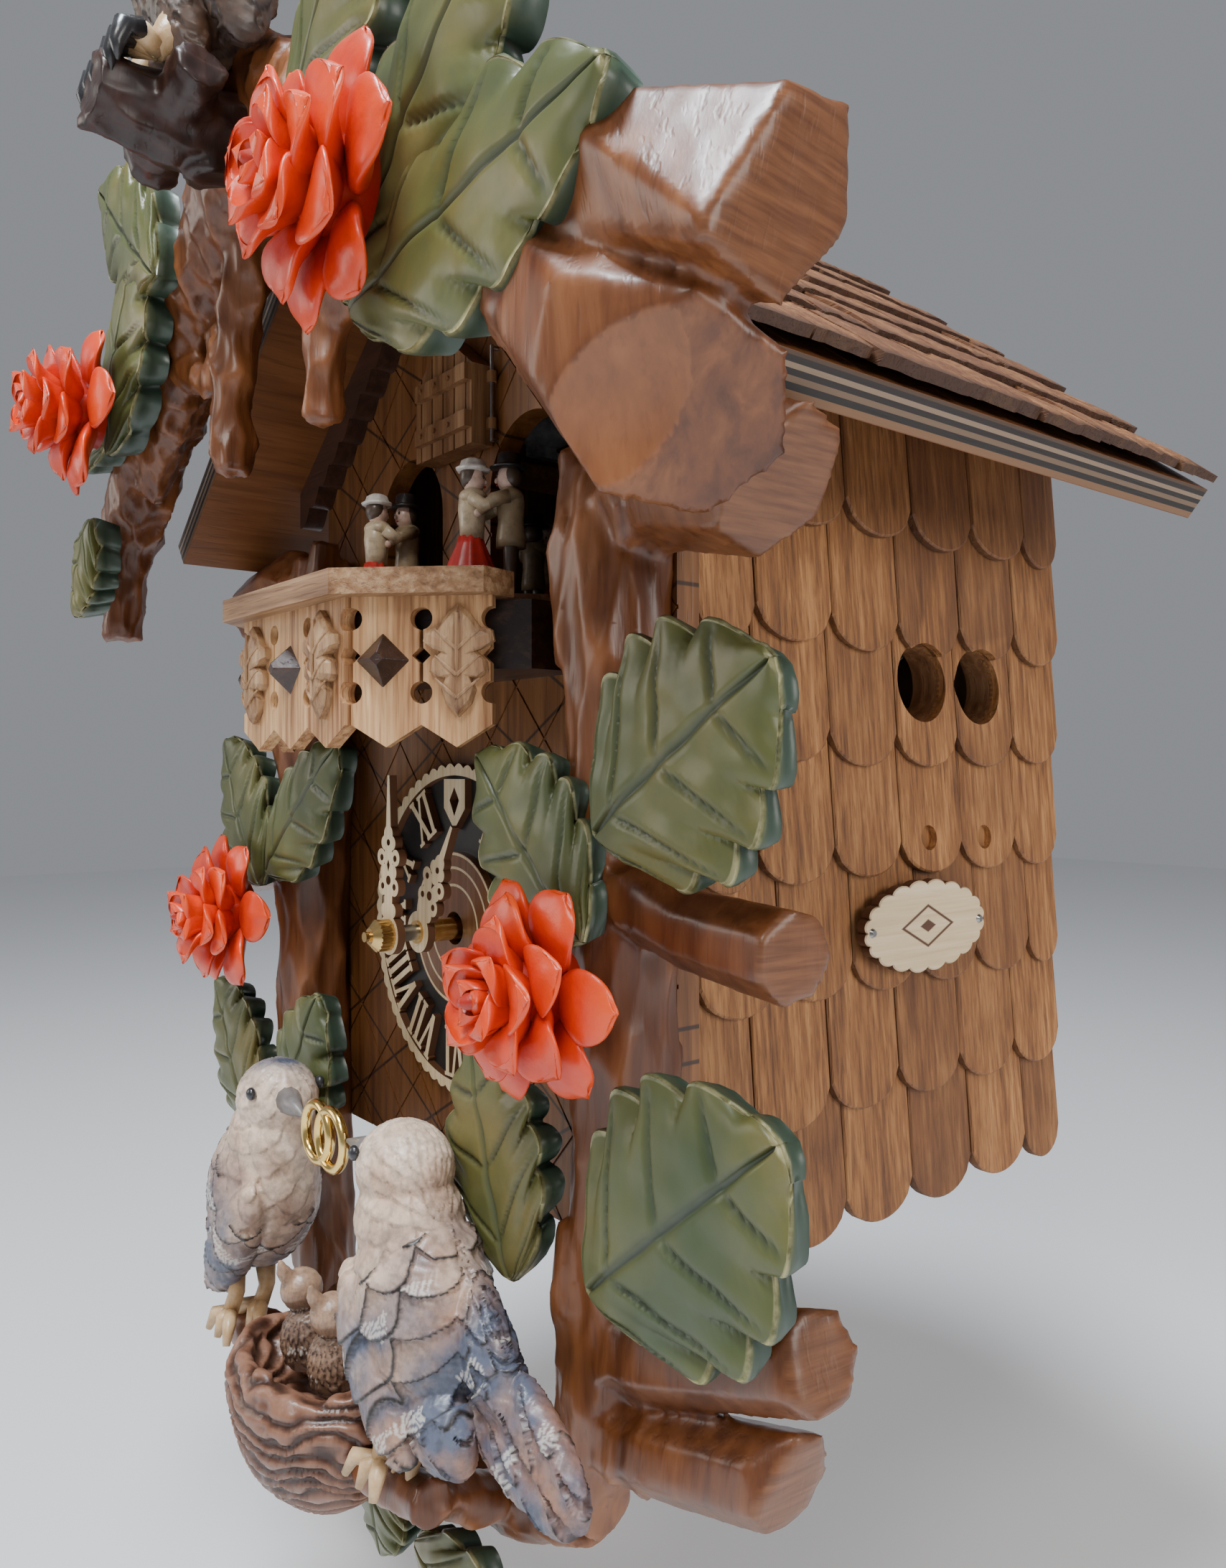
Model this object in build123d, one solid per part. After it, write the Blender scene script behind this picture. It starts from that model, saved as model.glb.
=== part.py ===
from build123d import *
import os
from math import atan2, cos, degrees, hypot, pi, radians, sin, sqrt, tan

# Carved wall cuckoo clock with dancers, in millimetres.
#
# Shapes are drawn in the case frame: X = 0 is the centre line, Y = 0 the front corners of the case
# (-Y is towards the viewer) and Z = 0 the tips of the lowest side shingles. save() moves them to the
# part's own frame, whose origin is the hanger hole at the wall, with the wall at Y = 0.

# ---- case ----
CASE_HALF = 113.0
CASE_DEPTH = 208.0
BOARD = 12.0
FLOOR_Z = 6.0
HANGER_Z = 250.0
HANGER_R = 5.0
FRONT_FACE = -9.0
FRONT_HALF = 119.0

# ---- roof ----
RIDGE_Z = 387.0
ROOF_PITCH = radians(38)
ROOF_FRONT = -58.0
EAVE_X = 170.0
ROOF_BOARD = 12.0
ROOF_COURSES = 6

# ---- side shingles ----
SHINGLE_STEP = 40.0
SHINGLE_WIDTH = 36.8
SHINGLE_LENGTH = 54.0
SHINGLE_OFFSETS = (35, 26, 2, 28, 27, 27, 34)

# ---- front openings ----
ARCH_X = 42.0
ARCH_R = 25.0
ARCH_TOP = 284.0
ARCH_FLOOR = 210.0
DOOR_HALF = 20.0
DOOR_LOW = 276.0
DOOR_SHOULDER = 305.0
DOOR_PEAK = 320.0
HINGE_X = 22.0
HINGE_Y = -11.6

# ---- dial and movement ----
DIAL_Z = 98.5
DIAL_R = 62.0
ARBOR_R = 3.0
HOUR_BORE = 3.06
HOUR_TUBE_R = 4.2
PLATE_FRONT = 14.0
PLATE_BACK = 54.0
PLATE_T = 2.0
PIVOT_R = 1.5
PIVOT_HOLE = 1.56
THIRD_Z = DIAL_Z + 24.5
ESCAPE_Z = THIRD_Z + 21.0
VERGE_Z = ESCAPE_Z + 17.0
GREAT_Z = DIAL_Z - 33.6
MOTION_X = 18.0
PENDULUM_Y = 67.0

# ---- balcony and dancers ----
TURN_Y = 15.0
TURN_R = 66.0
TURN_TOP = 217.0
COUPLE_R = 51.0
COUPLE_TURNS = (200, 300, 90, 50)
CROWN_TEETH = 24
CROWN_TIP = 203.6
DRUM_TEETH = 16
DRUM_Z = 196.0
RAIL_FRONT = -78.6
RAIL_HALF = 41.4
RAIL_FACET = 49.0
RAIL_T = 5.0
RAIL_TOP = 212.0
RAIL_VALLEY = 172.0
RAIL_TIP = 165.0
CAP_T = 8.0
CAP_WIDTH = 14.0

# ---- carving depths ----
TRUNK_BACK = FRONT_FACE
TRUNK_FRONT = -34.0
GABLE_BACK = -60.0
GABLE_FRONT = -100.0

os.makedirs("parts", exist_ok=True)


# ================= helpers =================

def save(name, shape):
    """Write one sub-part, moved from the case frame to the hanger frame."""
    export_step(Pos(0, -CASE_DEPTH, -HANGER_Z) * shape, f"parts/{name}.step")


def together(*shapes):
    """Separate solids kept as one group."""
    solids = []
    for shape in shapes:
        solids += list(shape.solids())
    return Compound(children=solids)


def block(x0, x1, y0, y1, z0, z1):
    """Box between two corners."""
    return Pos((x0 + x1) / 2, (y0 + y1) / 2, (z0 + z1) / 2) * Box(x1 - x0, y1 - y0, z1 - z0)


def slab_y(points, y0, y1):
    """Outline in X and Z, solid from y0 to y1."""
    outline = make_face(Polyline(*points, close=True))
    return extrude(Plane.XZ.offset(-y1) * outline, y1 - y0)


def slab_x(points, x0, x1):
    """Outline in Y and Z, solid from x0 to x1."""
    outline = make_face(Polyline(*points, close=True))
    return extrude(Plane.YZ.offset(x0) * outline, x1 - x0)


def slab_z(points, z0, z1):
    """Outline in X and Y, solid from z0 to z1."""
    outline = make_face(Polyline(*points, close=True))
    return extrude(Plane.XY.offset(z0) * outline, z1 - z0)


def rod(start, end, radius, end_radius=None):
    """Round bar between two points, tapered when end_radius is given."""
    axis = Vector(*end) - Vector(*start)
    place = Plane(origin=start, z_dir=axis).location
    base = (Align.CENTER, Align.CENTER, Align.MIN)
    if end_radius is None or end_radius == radius:
        return place * Cylinder(radius, axis.length, align=base)
    return place * Cone(radius, end_radius, axis.length, align=base)


def stub(start, end, radius, sides=7):
    """Faceted branch stub with a sawn end."""
    axis = Vector(*end) - Vector(*start)
    place = Plane(origin=start, z_dir=axis).location
    return place * extrude(RegularPolygon(radius, sides), axis.length)


def egg(centre, half, tilt=(0, 0, 0)):
    """Ellipsoid with three half axes."""
    return Pos(*centre) * Rot(*tilt) * scale(Sphere(1), by=half)


def mirror_x(shape):
    """The same shape on the other side of the centre line."""
    return mirror(shape, about=Plane.YZ)


def roof_under(x):
    """Height of the roof's underside above a point across the case."""
    return RIDGE_Z - abs(x) * tan(ROOF_PITCH)


def gear(teeth, module, y0, y1, x, z, phase, bore):
    """Toothed wheel on an axis along Y."""
    tip = module * (teeth / 2 + 0.5)
    root = module * (teeth / 2 - 0.75)
    pitch_angle = 2 * pi / teeth
    points = []
    for k in range(teeth):
        for offset, radius in ((-0.22, root), (-0.11, tip), (0.11, tip), (0.22, root)):
            angle = (k + phase + offset) * pitch_angle
            points.append((x + radius * cos(angle), z + radius * sin(angle)))
    wheel = slab_y(points, y0, y1)
    if bore:
        wheel -= rod((x, y0 - 1, z), (x, y1 + 1, z), bore)
    return wheel


def spoked(wheel, y0, y1, x, z, outer, inner, spokes=4):
    """Cut the windows that leave a rim, a hub and spokes."""
    window = Cylinder(outer, y1 - y0 + 2) - Cylinder(inner, y1 - y0 + 2)
    for k in range(spokes // 2):
        window -= Rot(0, 0, 180 * k / (spokes / 2)) * Box(2 * outer + 2, 3.0, y1 - y0 + 2)
    return wheel - Pos(x, (y0 + y1) / 2, z) * Rot(90, 0, 0) * window


def tooth_at(teeth, direction):
    """Phase that puts a tooth in this direction (radians)."""
    return direction * teeth / (2 * pi)


def gap_at(teeth, direction):
    """Phase that puts a gap in this direction (radians)."""
    return direction * teeth / (2 * pi) - 0.5


def leaf_outline(base, tip, width, lobes=4):
    """Lobed leaf between two points of a plane."""
    length = hypot(tip[0] - base[0], tip[1] - base[1])
    ux = (tip[0] - base[0]) / length
    uz = (tip[1] - base[1]) / length
    side = []
    steps = 4 * lobes
    for k in range(1, steps):
        t = k / steps
        bulge = sin(pi * t ** 0.85) ** 0.7
        notch = 1.0 - 0.13 * (1 if k % 4 == 0 else 0)
        side.append((t, width / 2 * bulge * notch))
    outline = [(0.0, 0.0)] + side + [(1.0, 0.0)] + [(t, -w) for t, w in reversed(side)]
    return [(base[0] + ux * length * t - uz * w, base[1] + uz * length * t + ux * w)
            for t, w in outline]


def leaf(base, tip, width, y_front, thick=11.0, lean=0.0):
    """Carved leaf: a lobed slab whose tip leans forward by lean degrees."""
    body = slab_y(leaf_outline(base, tip, width), y_front, y_front + thick)
    if lean:
        pivot = Pos(base[0], y_front + thick, base[1])
        sideways = degrees(atan2(tip[1] - base[1], tip[0] - base[0]))
        turn = Rot(0, -sideways, 0) * Rot(0, 0, -lean) * Rot(0, sideways, 0)
        body = pivot * turn * Pos(-base[0], -y_front - thick, -base[1]) * body
    return body


def rose(x, z, y_base, depth, radius):
    """Carved rose: a domed boss with a bud in front and five outer petals behind."""
    boss = rod((x, y_base, z), (x, y_base - depth * 0.62, z), radius * 0.88, radius * 0.62)
    bud = rod((x, y_base - depth * 0.62, z), (x, y_base - depth, z), radius * 0.5, radius * 0.3)
    solid = boss + bud
    for k in range(5):
        angle = 2 * pi * k / 5 + pi / 10
        cx = x + radius * 0.52 * cos(angle)
        cz = z + radius * 0.52 * sin(angle)
        solid += rod((cx, y_base, cz), (cx, y_base - depth * 0.4, cz), radius * 0.48, radius * 0.42)
    return solid


# ================= case =================

def side_panel_right():
    outer = CASE_HALF
    inner = CASE_HALF - BOARD
    points = [(inner, FLOOR_Z), (outer, FLOOR_Z), (outer, roof_under(outer)), (inner, roof_under(inner))]
    panel = slab_y(points, 0, CASE_DEPTH - BOARD)
    for y in (115.5, 151):
        panel -= rod((inner - 1, y, 190), (outer + 1, y, 190), 14.5)
    return panel


def shingle_row_outline(tip_z, offset):
    """Scalloped lower edge of one row of shingles, seen from the side."""
    points = [(0, tip_z + SHINGLE_LENGTH)]
    start = offset - SHINGLE_WIDTH
    radius = SHINGLE_WIDTH / 2
    while start < CASE_DEPTH:
        for k in range(9):
            u = -1 + 2 * k / 8 * 0.998 + 0.002
            y = start + radius + radius * u
            if 0 <= y <= CASE_DEPTH - 1:
                points.append((y, tip_z + 13 * (1 - sqrt(max(0, 1 - u * u)))))
        start += SHINGLE_WIDTH
    points.append((CASE_DEPTH - 1, tip_z + SHINGLE_LENGTH))
    return points


def side_shingles_right():
    """Seven overlapping rows, each a tilted board with a scalloped lower edge."""
    skin = None
    for row, offset in enumerate(SHINGLE_OFFSETS):
        tip_z = row * SHINGLE_STEP
        scallops = slab_x(shingle_row_outline(tip_z, offset), CASE_HALF, CASE_HALF + 6)
        wedge = slab_y([(CASE_HALF, tip_z - 1), (CASE_HALF + 6, tip_z - 1),
                        (CASE_HALF + 1.6, tip_z + SHINGLE_LENGTH + 1),
                        (CASE_HALF, tip_z + SHINGLE_LENGTH + 1)], -1, CASE_DEPTH + 1)
        course = scallops & wedge
        skin = course if skin is None else skin + course
    top = roof_under(CASE_HALF + 6) - 0.5
    skin &= block(CASE_HALF - 1, CASE_HALF + 8, -1, CASE_DEPTH + 1, -1, top)
    for y in (115.5, 151):
        skin -= rod((CASE_HALF - 1, y, 190), (CASE_HALF + 8, y, 190), 14.5)
        skin -= rod((CASE_HALF + 2, y + 2, 133), (CASE_HALF + 8, y + 2, 133), 4.5)
    return skin


def side_badge():
    """Blank scalloped oval of light wood with a small engraved lozenge."""
    points = []
    for k in range(96):
        angle = 2 * pi * k / 96
        swell = 1 + 0.035 * abs(cos(9 * angle))
        points.append((109 + 35.5 * swell * cos(angle), 102 + 16 * swell * sin(angle)))
    plate = slab_x(points, CASE_HALF + 6, CASE_HALF + 10)
    plate -= slab_x([(101, 102), (109, 96), (117, 102), (109, 108)], CASE_HALF + 9.4, CASE_HALF + 11)
    for y in (77.5, 140.5):
        plate -= rod((CASE_HALF + 5, y, 102), (CASE_HALF + 11, y, 102), 0.8)
    return plate


def badge_pins():
    pins = []
    for y in (77.5, 140.5):
        shank = rod((CASE_HALF + 6, y, 102), (CASE_HALF + 10, y, 102), 0.8)
        head = rod((CASE_HALF + 10, y, 102), (CASE_HALF + 11, y, 102), 1.7, 1.1)
        pins.append(shank + head)
    return together(*pins)


def arch_hole(x):
    """Doorway of the dancers: straight sides and a round head."""
    head = rod((x, FRONT_FACE - 1, ARCH_TOP - ARCH_R), (x, 1, ARCH_TOP - ARCH_R), ARCH_R)
    sides = block(x - ARCH_R, x + ARCH_R, FRONT_FACE - 1, 1, ARCH_FLOOR, ARCH_TOP - ARCH_R)
    return head + sides


def front_panel():
    top = roof_under(FRONT_HALF)
    panel = slab_y([(-FRONT_HALF, FLOOR_Z), (FRONT_HALF, FLOOR_Z), (FRONT_HALF, top),
                    (0, RIDGE_Z), (-FRONT_HALF, top)], FRONT_FACE, 0)
    panel -= arch_hole(ARCH_X)
    panel -= arch_hole(-ARCH_X)
    panel -= block(-ARCH_X - ARCH_R, ARCH_X + ARCH_R, FRONT_FACE - 1, 1, ARCH_FLOOR, ARCH_FLOOR + 10)
    panel -= slab_y([(-15, 281), (15, 281), (15, 303), (0, 313), (-15, 303)], FRONT_FACE - 1, 1)
    panel -= rod((0, FRONT_FACE - 1, DIAL_Z), (0, 1, DIAL_Z), 6.2)
    groove_step = 34.0
    for slope in (1, -1):
        for k in range(-9, 10):
            line = Pos(k * groove_step, FRONT_FACE, 150) * Rot(0, -slope * 48, 0) * Box(520, 1.2, 0.9)
            panel -= line
    return panel


def floor_board():
    """Bottom board with the slots for the chains and the pendulum."""
    board = block(-CASE_HALF + BOARD, CASE_HALF - BOARD, 0, CASE_DEPTH - BOARD, FLOOR_Z, FLOOR_Z + 10)
    board -= block(-18, 18, PENDULUM_Y - 6, PENDULUM_Y + 6, FLOOR_Z - 1, FLOOR_Z + 11)
    for x in (-12, 12):
        board -= rod((x, 38, FLOOR_Z - 1), (x, 38, FLOOR_Z + 11), 3.5)
    return board


def back_panel():
    top = roof_under(CASE_HALF)
    panel = slab_y([(-CASE_HALF, FLOOR_Z), (CASE_HALF, FLOOR_Z), (CASE_HALF, top),
                    (0, RIDGE_Z), (-CASE_HALF, top)], CASE_DEPTH - BOARD, CASE_DEPTH)
    panel -= rod((0, CASE_DEPTH - BOARD - 1, HANGER_Z), (0, CASE_DEPTH + 1, HANGER_Z), HANGER_R)
    panel -= block(-59, 59, CASE_DEPTH - BOARD - 1, CASE_DEPTH + 1, 50, 205)
    for z in (42, 205):
        panel -= rod((-54.5, 202, z), (-54.5, 202, z + 8), 1.56)
    return panel


def rear_door():
    """Door in the back, round-edged about its two pivot pins."""
    door = block(-54.5, 58.5, 198, 206, 50.5, 204.5)
    door += rod((-54.5, 202, 50.5), (-54.5, 202, 204.5), 4.0)
    door += rod((-54.5, 202, 44), (-54.5, 202, 211), 1.5)
    door -= rod((46, 197, 128), (46, 207, 128), 2.0)
    return door


def rear_door_knob():
    shank = rod((46, 198, 128), (46, 206, 128), 2.0)
    return shank + rod((46, 206, 128), (46, 207.9, 128), 6.0, 5.0)


def music_shelf():
    shelf = block(-72, 72, 0, CASE_DEPTH - BOARD, 176, 184)
    shelf -= rod((0, TURN_Y, 175), (0, TURN_Y, 185), 2.56)
    return shelf


def cuckoo_rail():
    """Bar from the front board to the back board that carries the bird."""
    rail = block(-9, 9, 0, CASE_DEPTH - BOARD, 271, 276)
    return rail + block(-2.5, 2.5, 0, CASE_DEPTH - BOARD, 276, 278.5)


# ================= roof =================

def roof_board_right():
    rise = ROOF_BOARD / cos(ROOF_PITCH)
    low = roof_under(EAVE_X)
    points = [(0, RIDGE_Z), (EAVE_X, low),
              (EAVE_X + ROOF_BOARD * sin(ROOF_PITCH), low + ROOF_BOARD * cos(ROOF_PITCH)),
              (0, RIDGE_Z + rise)]
    return slab_y(points, ROOF_FRONT, CASE_DEPTH)


def roof_shingles_right():
    """Stepped courses of split shingles, thicker at each lower edge."""
    ux = cos(ROOF_PITCH)
    uz = -sin(ROOF_PITCH)
    nx = sin(ROOF_PITCH)
    nz = cos(ROOF_PITCH)
    start_z = RIDGE_Z + ROOF_BOARD / cos(ROOF_PITCH)
    slope = (EAVE_X + ROOF_BOARD * nx) / ux
    step = slope / ROOF_COURSES
    points = [(0, start_z)]
    points.append((0, start_z + 3 / nz))
    for k in range(1, ROOF_COURSES + 1):
        along = k * step + 2
        points.append((ux * along + nx * 7, start_z + uz * along + nz * 7))
        if k < ROOF_COURSES:
            points.append((ux * along + nx * 3, start_z + uz * along + nz * 3))
        else:
            points.append((ux * along, start_z + uz * along))
    return slab_y(points, ROOF_FRONT + 6, CASE_DEPTH)


def gable_trim():
    """Wavy strips under the roof, in front of the front board."""
    steps = 20
    points = []
    for k in range(steps + 1):
        x = 30 + 100 * k / steps
        points.append((x, roof_under(x) - 0.3))
    for k in range(steps, -1, -1):
        x = 30 + 100 * k / steps
        points.append((x, roof_under(x) - 19 + 3.0 * (k % 2)))
    strip = slab_y(points, FRONT_FACE - 9, FRONT_FACE)
    return together(strip, mirror_x(strip))


# ================= carved wood =================

def trunk_right():
    """Tree trunk with sawn stubs, standing on the front board."""
    side = [(84, 253), (124, 250), (122, 200), (122, 130), (121, 60), (123, 10), (118, -30)]
    inner = [(96, -78), (66, -66), (88, -20), (97, 10), (94, 60), (92, 120), (92, 170), (83, 210)]
    trunk = slab_y(side + inner, TRUNK_FRONT, TRUNK_BACK)
    stubs = [((112, -21, 112), (180, -22, 110), 12.5),
             ((108, -21, 226), (163, -20, 233), 19.0),
             ((106, -21, -8), (186, -22, 14), 12.0),
             ((102, -21, -36), (178, -22, -20), 12.0)]
    for start, end, radius in stubs:
        trunk += stub(start, end, radius)
    trunk -= block(0, 240, FRONT_FACE, CASE_DEPTH, FLOOR_Z, RIDGE_Z)
    return trunk


def gable_branch_right():
    """Right half of the gable: a branch along the roof edge with cut stubs."""
    points = [(0, 404), (60, 372), (120, 330), (176, 286), (196, 262), (176, 250), (128, 286),
              (92, 306), (66, 322), (52, 300), (46, 264), (33, 266), (30, 300), (34, 336), (0, 352)]
    body = slab_y(points, GABLE_FRONT + 8, GABLE_BACK)
    stubs = [((148, -80, 303), (230, -84, 270), 23.0),
             ((138, -80, 290), (202, -86, 228), 20.0)]
    for start, end, radius in stubs:
        body += stub(start, end, radius)
    roof = block(-1, 240, ROOF_FRONT - 0.5, CASE_DEPTH, 0, 500)
    return body - roof


def gable_branch_left():
    """Left half of the gable: branches with an open loop and a hanging cut tip."""
    points = [(0, 404), (-60, 372), (-120, 330), (-176, 286), (-192, 252), (-188, 216), (-172, 216),
              (-166, 250), (-128, 284), (-92, 306), (-66, 322), (-52, 300), (-46, 264), (-33, 266),
              (-30, 300), (-34, 336), (0, 352)]
    body = slab_y(points, GABLE_FRONT + 8, GABLE_BACK)
    body -= rod((-44, -110, 338), (-44, -40, 338), 8.0)
    return body


def bottom_branch():
    """Forked branch under the birds, between the two trunks."""
    points = [(-66, -66), (-96, -78), (-60, -96), (0, -104), (60, -96), (96, -78), (66, -66),
              (40, -72), (0, -78), (-40, -72)]
    arch = slab_y(points, TRUNK_FRONT, TRUNK_BACK)
    for sign in (-1, 1):
        arch += rod((sign * 58, -30, -78), (sign * 70, -66, -58), 9.0, 8.0)
        arch += rod((sign * 34, -66, -64), (sign * 76, -67, -58), 8.0, 8.0)
    return arch


def gable_leaves():
    y_front = GABLE_FRONT - 8
    leaves = [leaf((96, 280), (176, 348), 52, y_front, 14),
              leaf((100, 276), (204, 292), 50, y_front - 1, 14),
              leaf((60, 340), (128, 398), 50, y_front, 14),
              leaf((-60, 340), (-128, 398), 50, y_front, 14),
              leaf((-118, 286), (-78, 362), 46, y_front, 14),
              leaf((-128, 292), (-190, 330), 44, y_front, 14),
              leaf((-142, 262), (-170, 228), 30, y_front, 12)]
    solid = leaves[0]
    for piece in leaves[1:]:
        solid += piece
    return solid - gable_branch_right() - gable_branch_left()


def right_leaves():
    front = -47.0
    return together(leaf((124, 142), (184, 182), 66, front, 12),
                    leaf((118, 112), (68, 158), 46, front, 12),
                    leaf((122, 16), (186, 70), 70, front, 12),
                    leaf((82, 6), (62, 68), 50, front, 12))


def left_leaves():
    front = -47.0
    return together(leaf((-112, 110), (-150, 170), 52, front, 12),
                    leaf((-104, 114), (-36, 167), 42, front, 12),
                    leaf((-118, 4), (-162, 58), 50, front, 12),
                    leaf((-84, 8), (-54, 66), 48, front, 12))


def bottom_leaves():
    front = -47.0
    return together(leaf((24, -106), (98, -112), 34, front, 12),
                    leaf((-24, -106), (-98, -112), 34, front, 12),
                    leaf((0, -84), (0, -126), 34, front, 12))


def gable_roses():
    flower = rose(113, 300, -109, 33, 34)
    return together(flower, mirror_x(flower))


def trunk_roses():
    flower = rose(114, 97, -48, 36, 33)
    return together(flower, mirror_x(flower))


def owl_branch():
    """Short branch that stands forward from the gable's top."""
    branch = rod((0, -100, 366), (0, -146, 366), 14.0, 13.0)
    branch += rod((-26, -118, 360), (26, -118, 372), 9.0, 9.0)
    return branch + block(-14, 14, -104, -100, 350, 384)


def owl():
    """Perched bird with folded wings, cut flat where it grips the branch."""
    body = egg((0, -112, 424), (26, 23, 44))
    head = egg((0, -117, 468), (22, 20, 19))
    wings = egg((-22, -106, 424), (8, 16, 38)) + egg((22, -106, 424), (8, 16, 38))
    tail = slab_y([(-13, 400), (13, 400), (10, 338), (-10, 338)], -94, -87)
    legs = rod((-10, -118, 378), (-10, -114, 396), 6.0) + rod((10, -118, 378), (10, -114, 396), 6.0)
    bird = body + head + wings + tail + legs
    return bird - owl_branch() - gable_branch_right() - gable_branch_left()


def songbird(side):
    """Small perched bird that leans towards the middle; side is 1 for the right one."""
    body = egg((side * 63, -61, -5), (27, 21, 38), (0, -side * 28, 0))
    head = egg((side * 50, -61, 33), (19, 17, 16))
    tail = slab_y([(side * 70, -34), (side * 92, -2), (side * 137, -26), (side * 118, -48)], -58, -49)
    beak = rod((side * 34, -64, 34), (side * 18, -66, 34), 5.0, 1.0)
    bird = body + head + tail + beak - wedding_rings() - bottom_branch()
    return bird - block(-150, 150, -47.6, 0, -80, 80)


def wedding_rings():
    first = Pos(5.4, -66, 31) * Rot(90, 0, 25) * Torus(9.8, 1.8)
    second = Pos(-5.4, -66, 31) * Rot(90, 0, -55) * Torus(9.8, 1.8)
    return together(first, second)


def nest():
    """Woven bowl with a hollow for the chicks."""
    bowl = egg((0, -66, -62), (42, 32, 34))
    bowl -= block(-60, 60, -110, 0, -42, 40)
    bowl -= egg((0, -66, -40), (32, 23, 22))
    bowl -= block(-60, 60, TRUNK_FRONT, 0, -110, 0)
    bowl -= block(-60, 60, -47.4, 0, -130, -80)
    return bowl - bottom_branch()


def chicks():
    birds = []
    for x in (-11, 11):
        body = egg((x, -66, -40), (9.5, 11, 13))
        head = egg((x, -69, -25), (8, 8, 7.5))
        birds.append(body + head)
    return together(*birds)


# ================= balcony =================

def rail_corners(reach):
    """Outline of the balcony seen from above, reach millimetres inside the railing's face."""
    corner = RAIL_HALF - reach * tan(radians(22.5))
    back = RAIL_FRONT + RAIL_FACET / sqrt(2) + reach
    return [(-RAIL_HALF - RAIL_FACET / sqrt(2) + 0.3 * reach, back),
            (-corner, RAIL_FRONT + reach), (corner, RAIL_FRONT + reach),
            (RAIL_HALF + RAIL_FACET / sqrt(2) - 0.3 * reach, back)]


def balcony_box():
    """Solid platform behind the railing, hollowed on top for the turning disc."""
    half = 75.0
    front = RAIL_FRONT + RAIL_T
    flank = half - (abs(front) - 31) + 1.0
    points = [(-half, FRONT_FACE), (-half, -31), (-flank, front), (flank, front), (half, -31),
              (half, FRONT_FACE)]
    platform = slab_z(points, 190, 212)
    return platform - rod((0, TURN_Y, 210), (0, TURN_Y, 213), TURN_R + 3)


def facet_places():
    """Middle point and turn of the three railing facets."""
    middle = RAIL_HALF + RAIL_FACET / (2 * sqrt(2))
    depth = RAIL_FRONT + RAIL_FACET / (2 * sqrt(2))
    return [(0, RAIL_FRONT, 0, 2 * RAIL_HALF), (middle, depth, 45, RAIL_FACET), (-middle, depth, -45, RAIL_FACET)]


def railing_panel(width, modules):
    """One flat railing panel with pointed tips, round holes, diamonds and slits."""
    pitch = width / modules
    points = [(-width / 2, RAIL_TOP), (width / 2, RAIL_TOP)]
    for k in range(modules, 0, -1):
        right = -width / 2 + k * pitch
        points.append((right, RAIL_VALLEY))
        points.append((right - pitch / 2, RAIL_TIP))
    points.append((-width / 2, RAIL_VALLEY))
    panel = slab_y(points, 0, RAIL_T)
    for k in range(modules + 1):
        x = -width / 2 + k * pitch
        for z in (205, 182):
            panel -= rod((x, -1, z), (x, RAIL_T + 1, z), 3.5)
        panel -= slab_y([(x - 3, 193.5), (x, 190.5), (x + 3, 193.5), (x, 196.5)], -1, RAIL_T + 1)
        panel -= block(x - 0.6, x + 0.6, -1, RAIL_T + 1, 196, 202)
        panel -= block(x - 0.6, x + 0.6, -1, RAIL_T + 1, 185, 191)
    return panel


def balcony_railing():
    panels = []
    for x, y, turn, width in facet_places():
        modules = 3 if turn == 0 else 2
        trim = 0.0 if turn == 0 else RAIL_T * tan(radians(22.5))
        panel = railing_panel(width - 2 * trim, modules)
        panels.append(Pos(x, y, 0) * Rot(0, 0, turn) * panel)
    joined = panels[1] - panels[0]
    other = panels[2] - panels[0]
    return together(panels[0], joined, other)


def balcony_rail_cap():
    outer = rail_corners(-7.0)
    inner = rail_corners(CAP_WIDTH - 7.0)
    return slab_z(outer + list(reversed(inner)), RAIL_TOP, RAIL_TOP + CAP_T)


def on_facets(piece, kinds):
    """Copies of a piece on the railing's modules; kinds gives the module numbers of each facet."""
    copies = []
    for (x, y, turn, width), chosen in zip(facet_places(), kinds):
        modules = 3 if turn == 0 else 2
        pitch = width / modules
        for k in chosen:
            shift = -width / 2 + (k + 0.5) * pitch
            copies.append(Pos(x, y, 0) * Rot(0, 0, turn) * Pos(shift, 0, 0) * piece)
    return together(*copies)


def railing_pyramids():
    """Dark four-sided studs, one in the middle facet and one in each side facet."""
    base = Plane.XZ.offset(0) * Pos(0, 192) * Rot(0, 0, 0) * RectangleRounded(12, 12, 0.5)
    tip = Plane.XZ.offset(7) * Pos(0, 192) * RectangleRounded(3, 3, 0.5)
    stud = loft([base, tip])
    turned = Pos(0, 0, 192) * Rot(0, 45, 0) * Pos(0, 0, -192) * stud
    return on_facets(turned, ((1,), (0,), (1,)))


def railing_oak_leaves():
    """Carved oak leaves, hanging point down on the railing."""
    points = [(0, 209), (5, 203), (10, 199), (8, 194), (5, 193), (7, 187), (4, 184), (4, 178), (0, 174),
              (-4, 178), (-4, 184), (-7, 187), (-5, 193), (-8, 194), (-10, 199), (-5, 203)]
    return on_facets(slab_y(points, -4, 0), ((0, 2), (1,), (0,)))


def turntable():
    disc = rod((0, TURN_Y, TURN_TOP - 4), (0, TURN_Y, TURN_TOP), TURN_R)
    arbor = rod((0, TURN_Y, 175), (0, TURN_Y, TURN_TOP - 4), 2.5)
    collar = rod((0, TURN_Y, 184.1), (0, TURN_Y, 190), 7.0)
    crown = gear_crown()
    return disc + arbor + collar + crown


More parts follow.
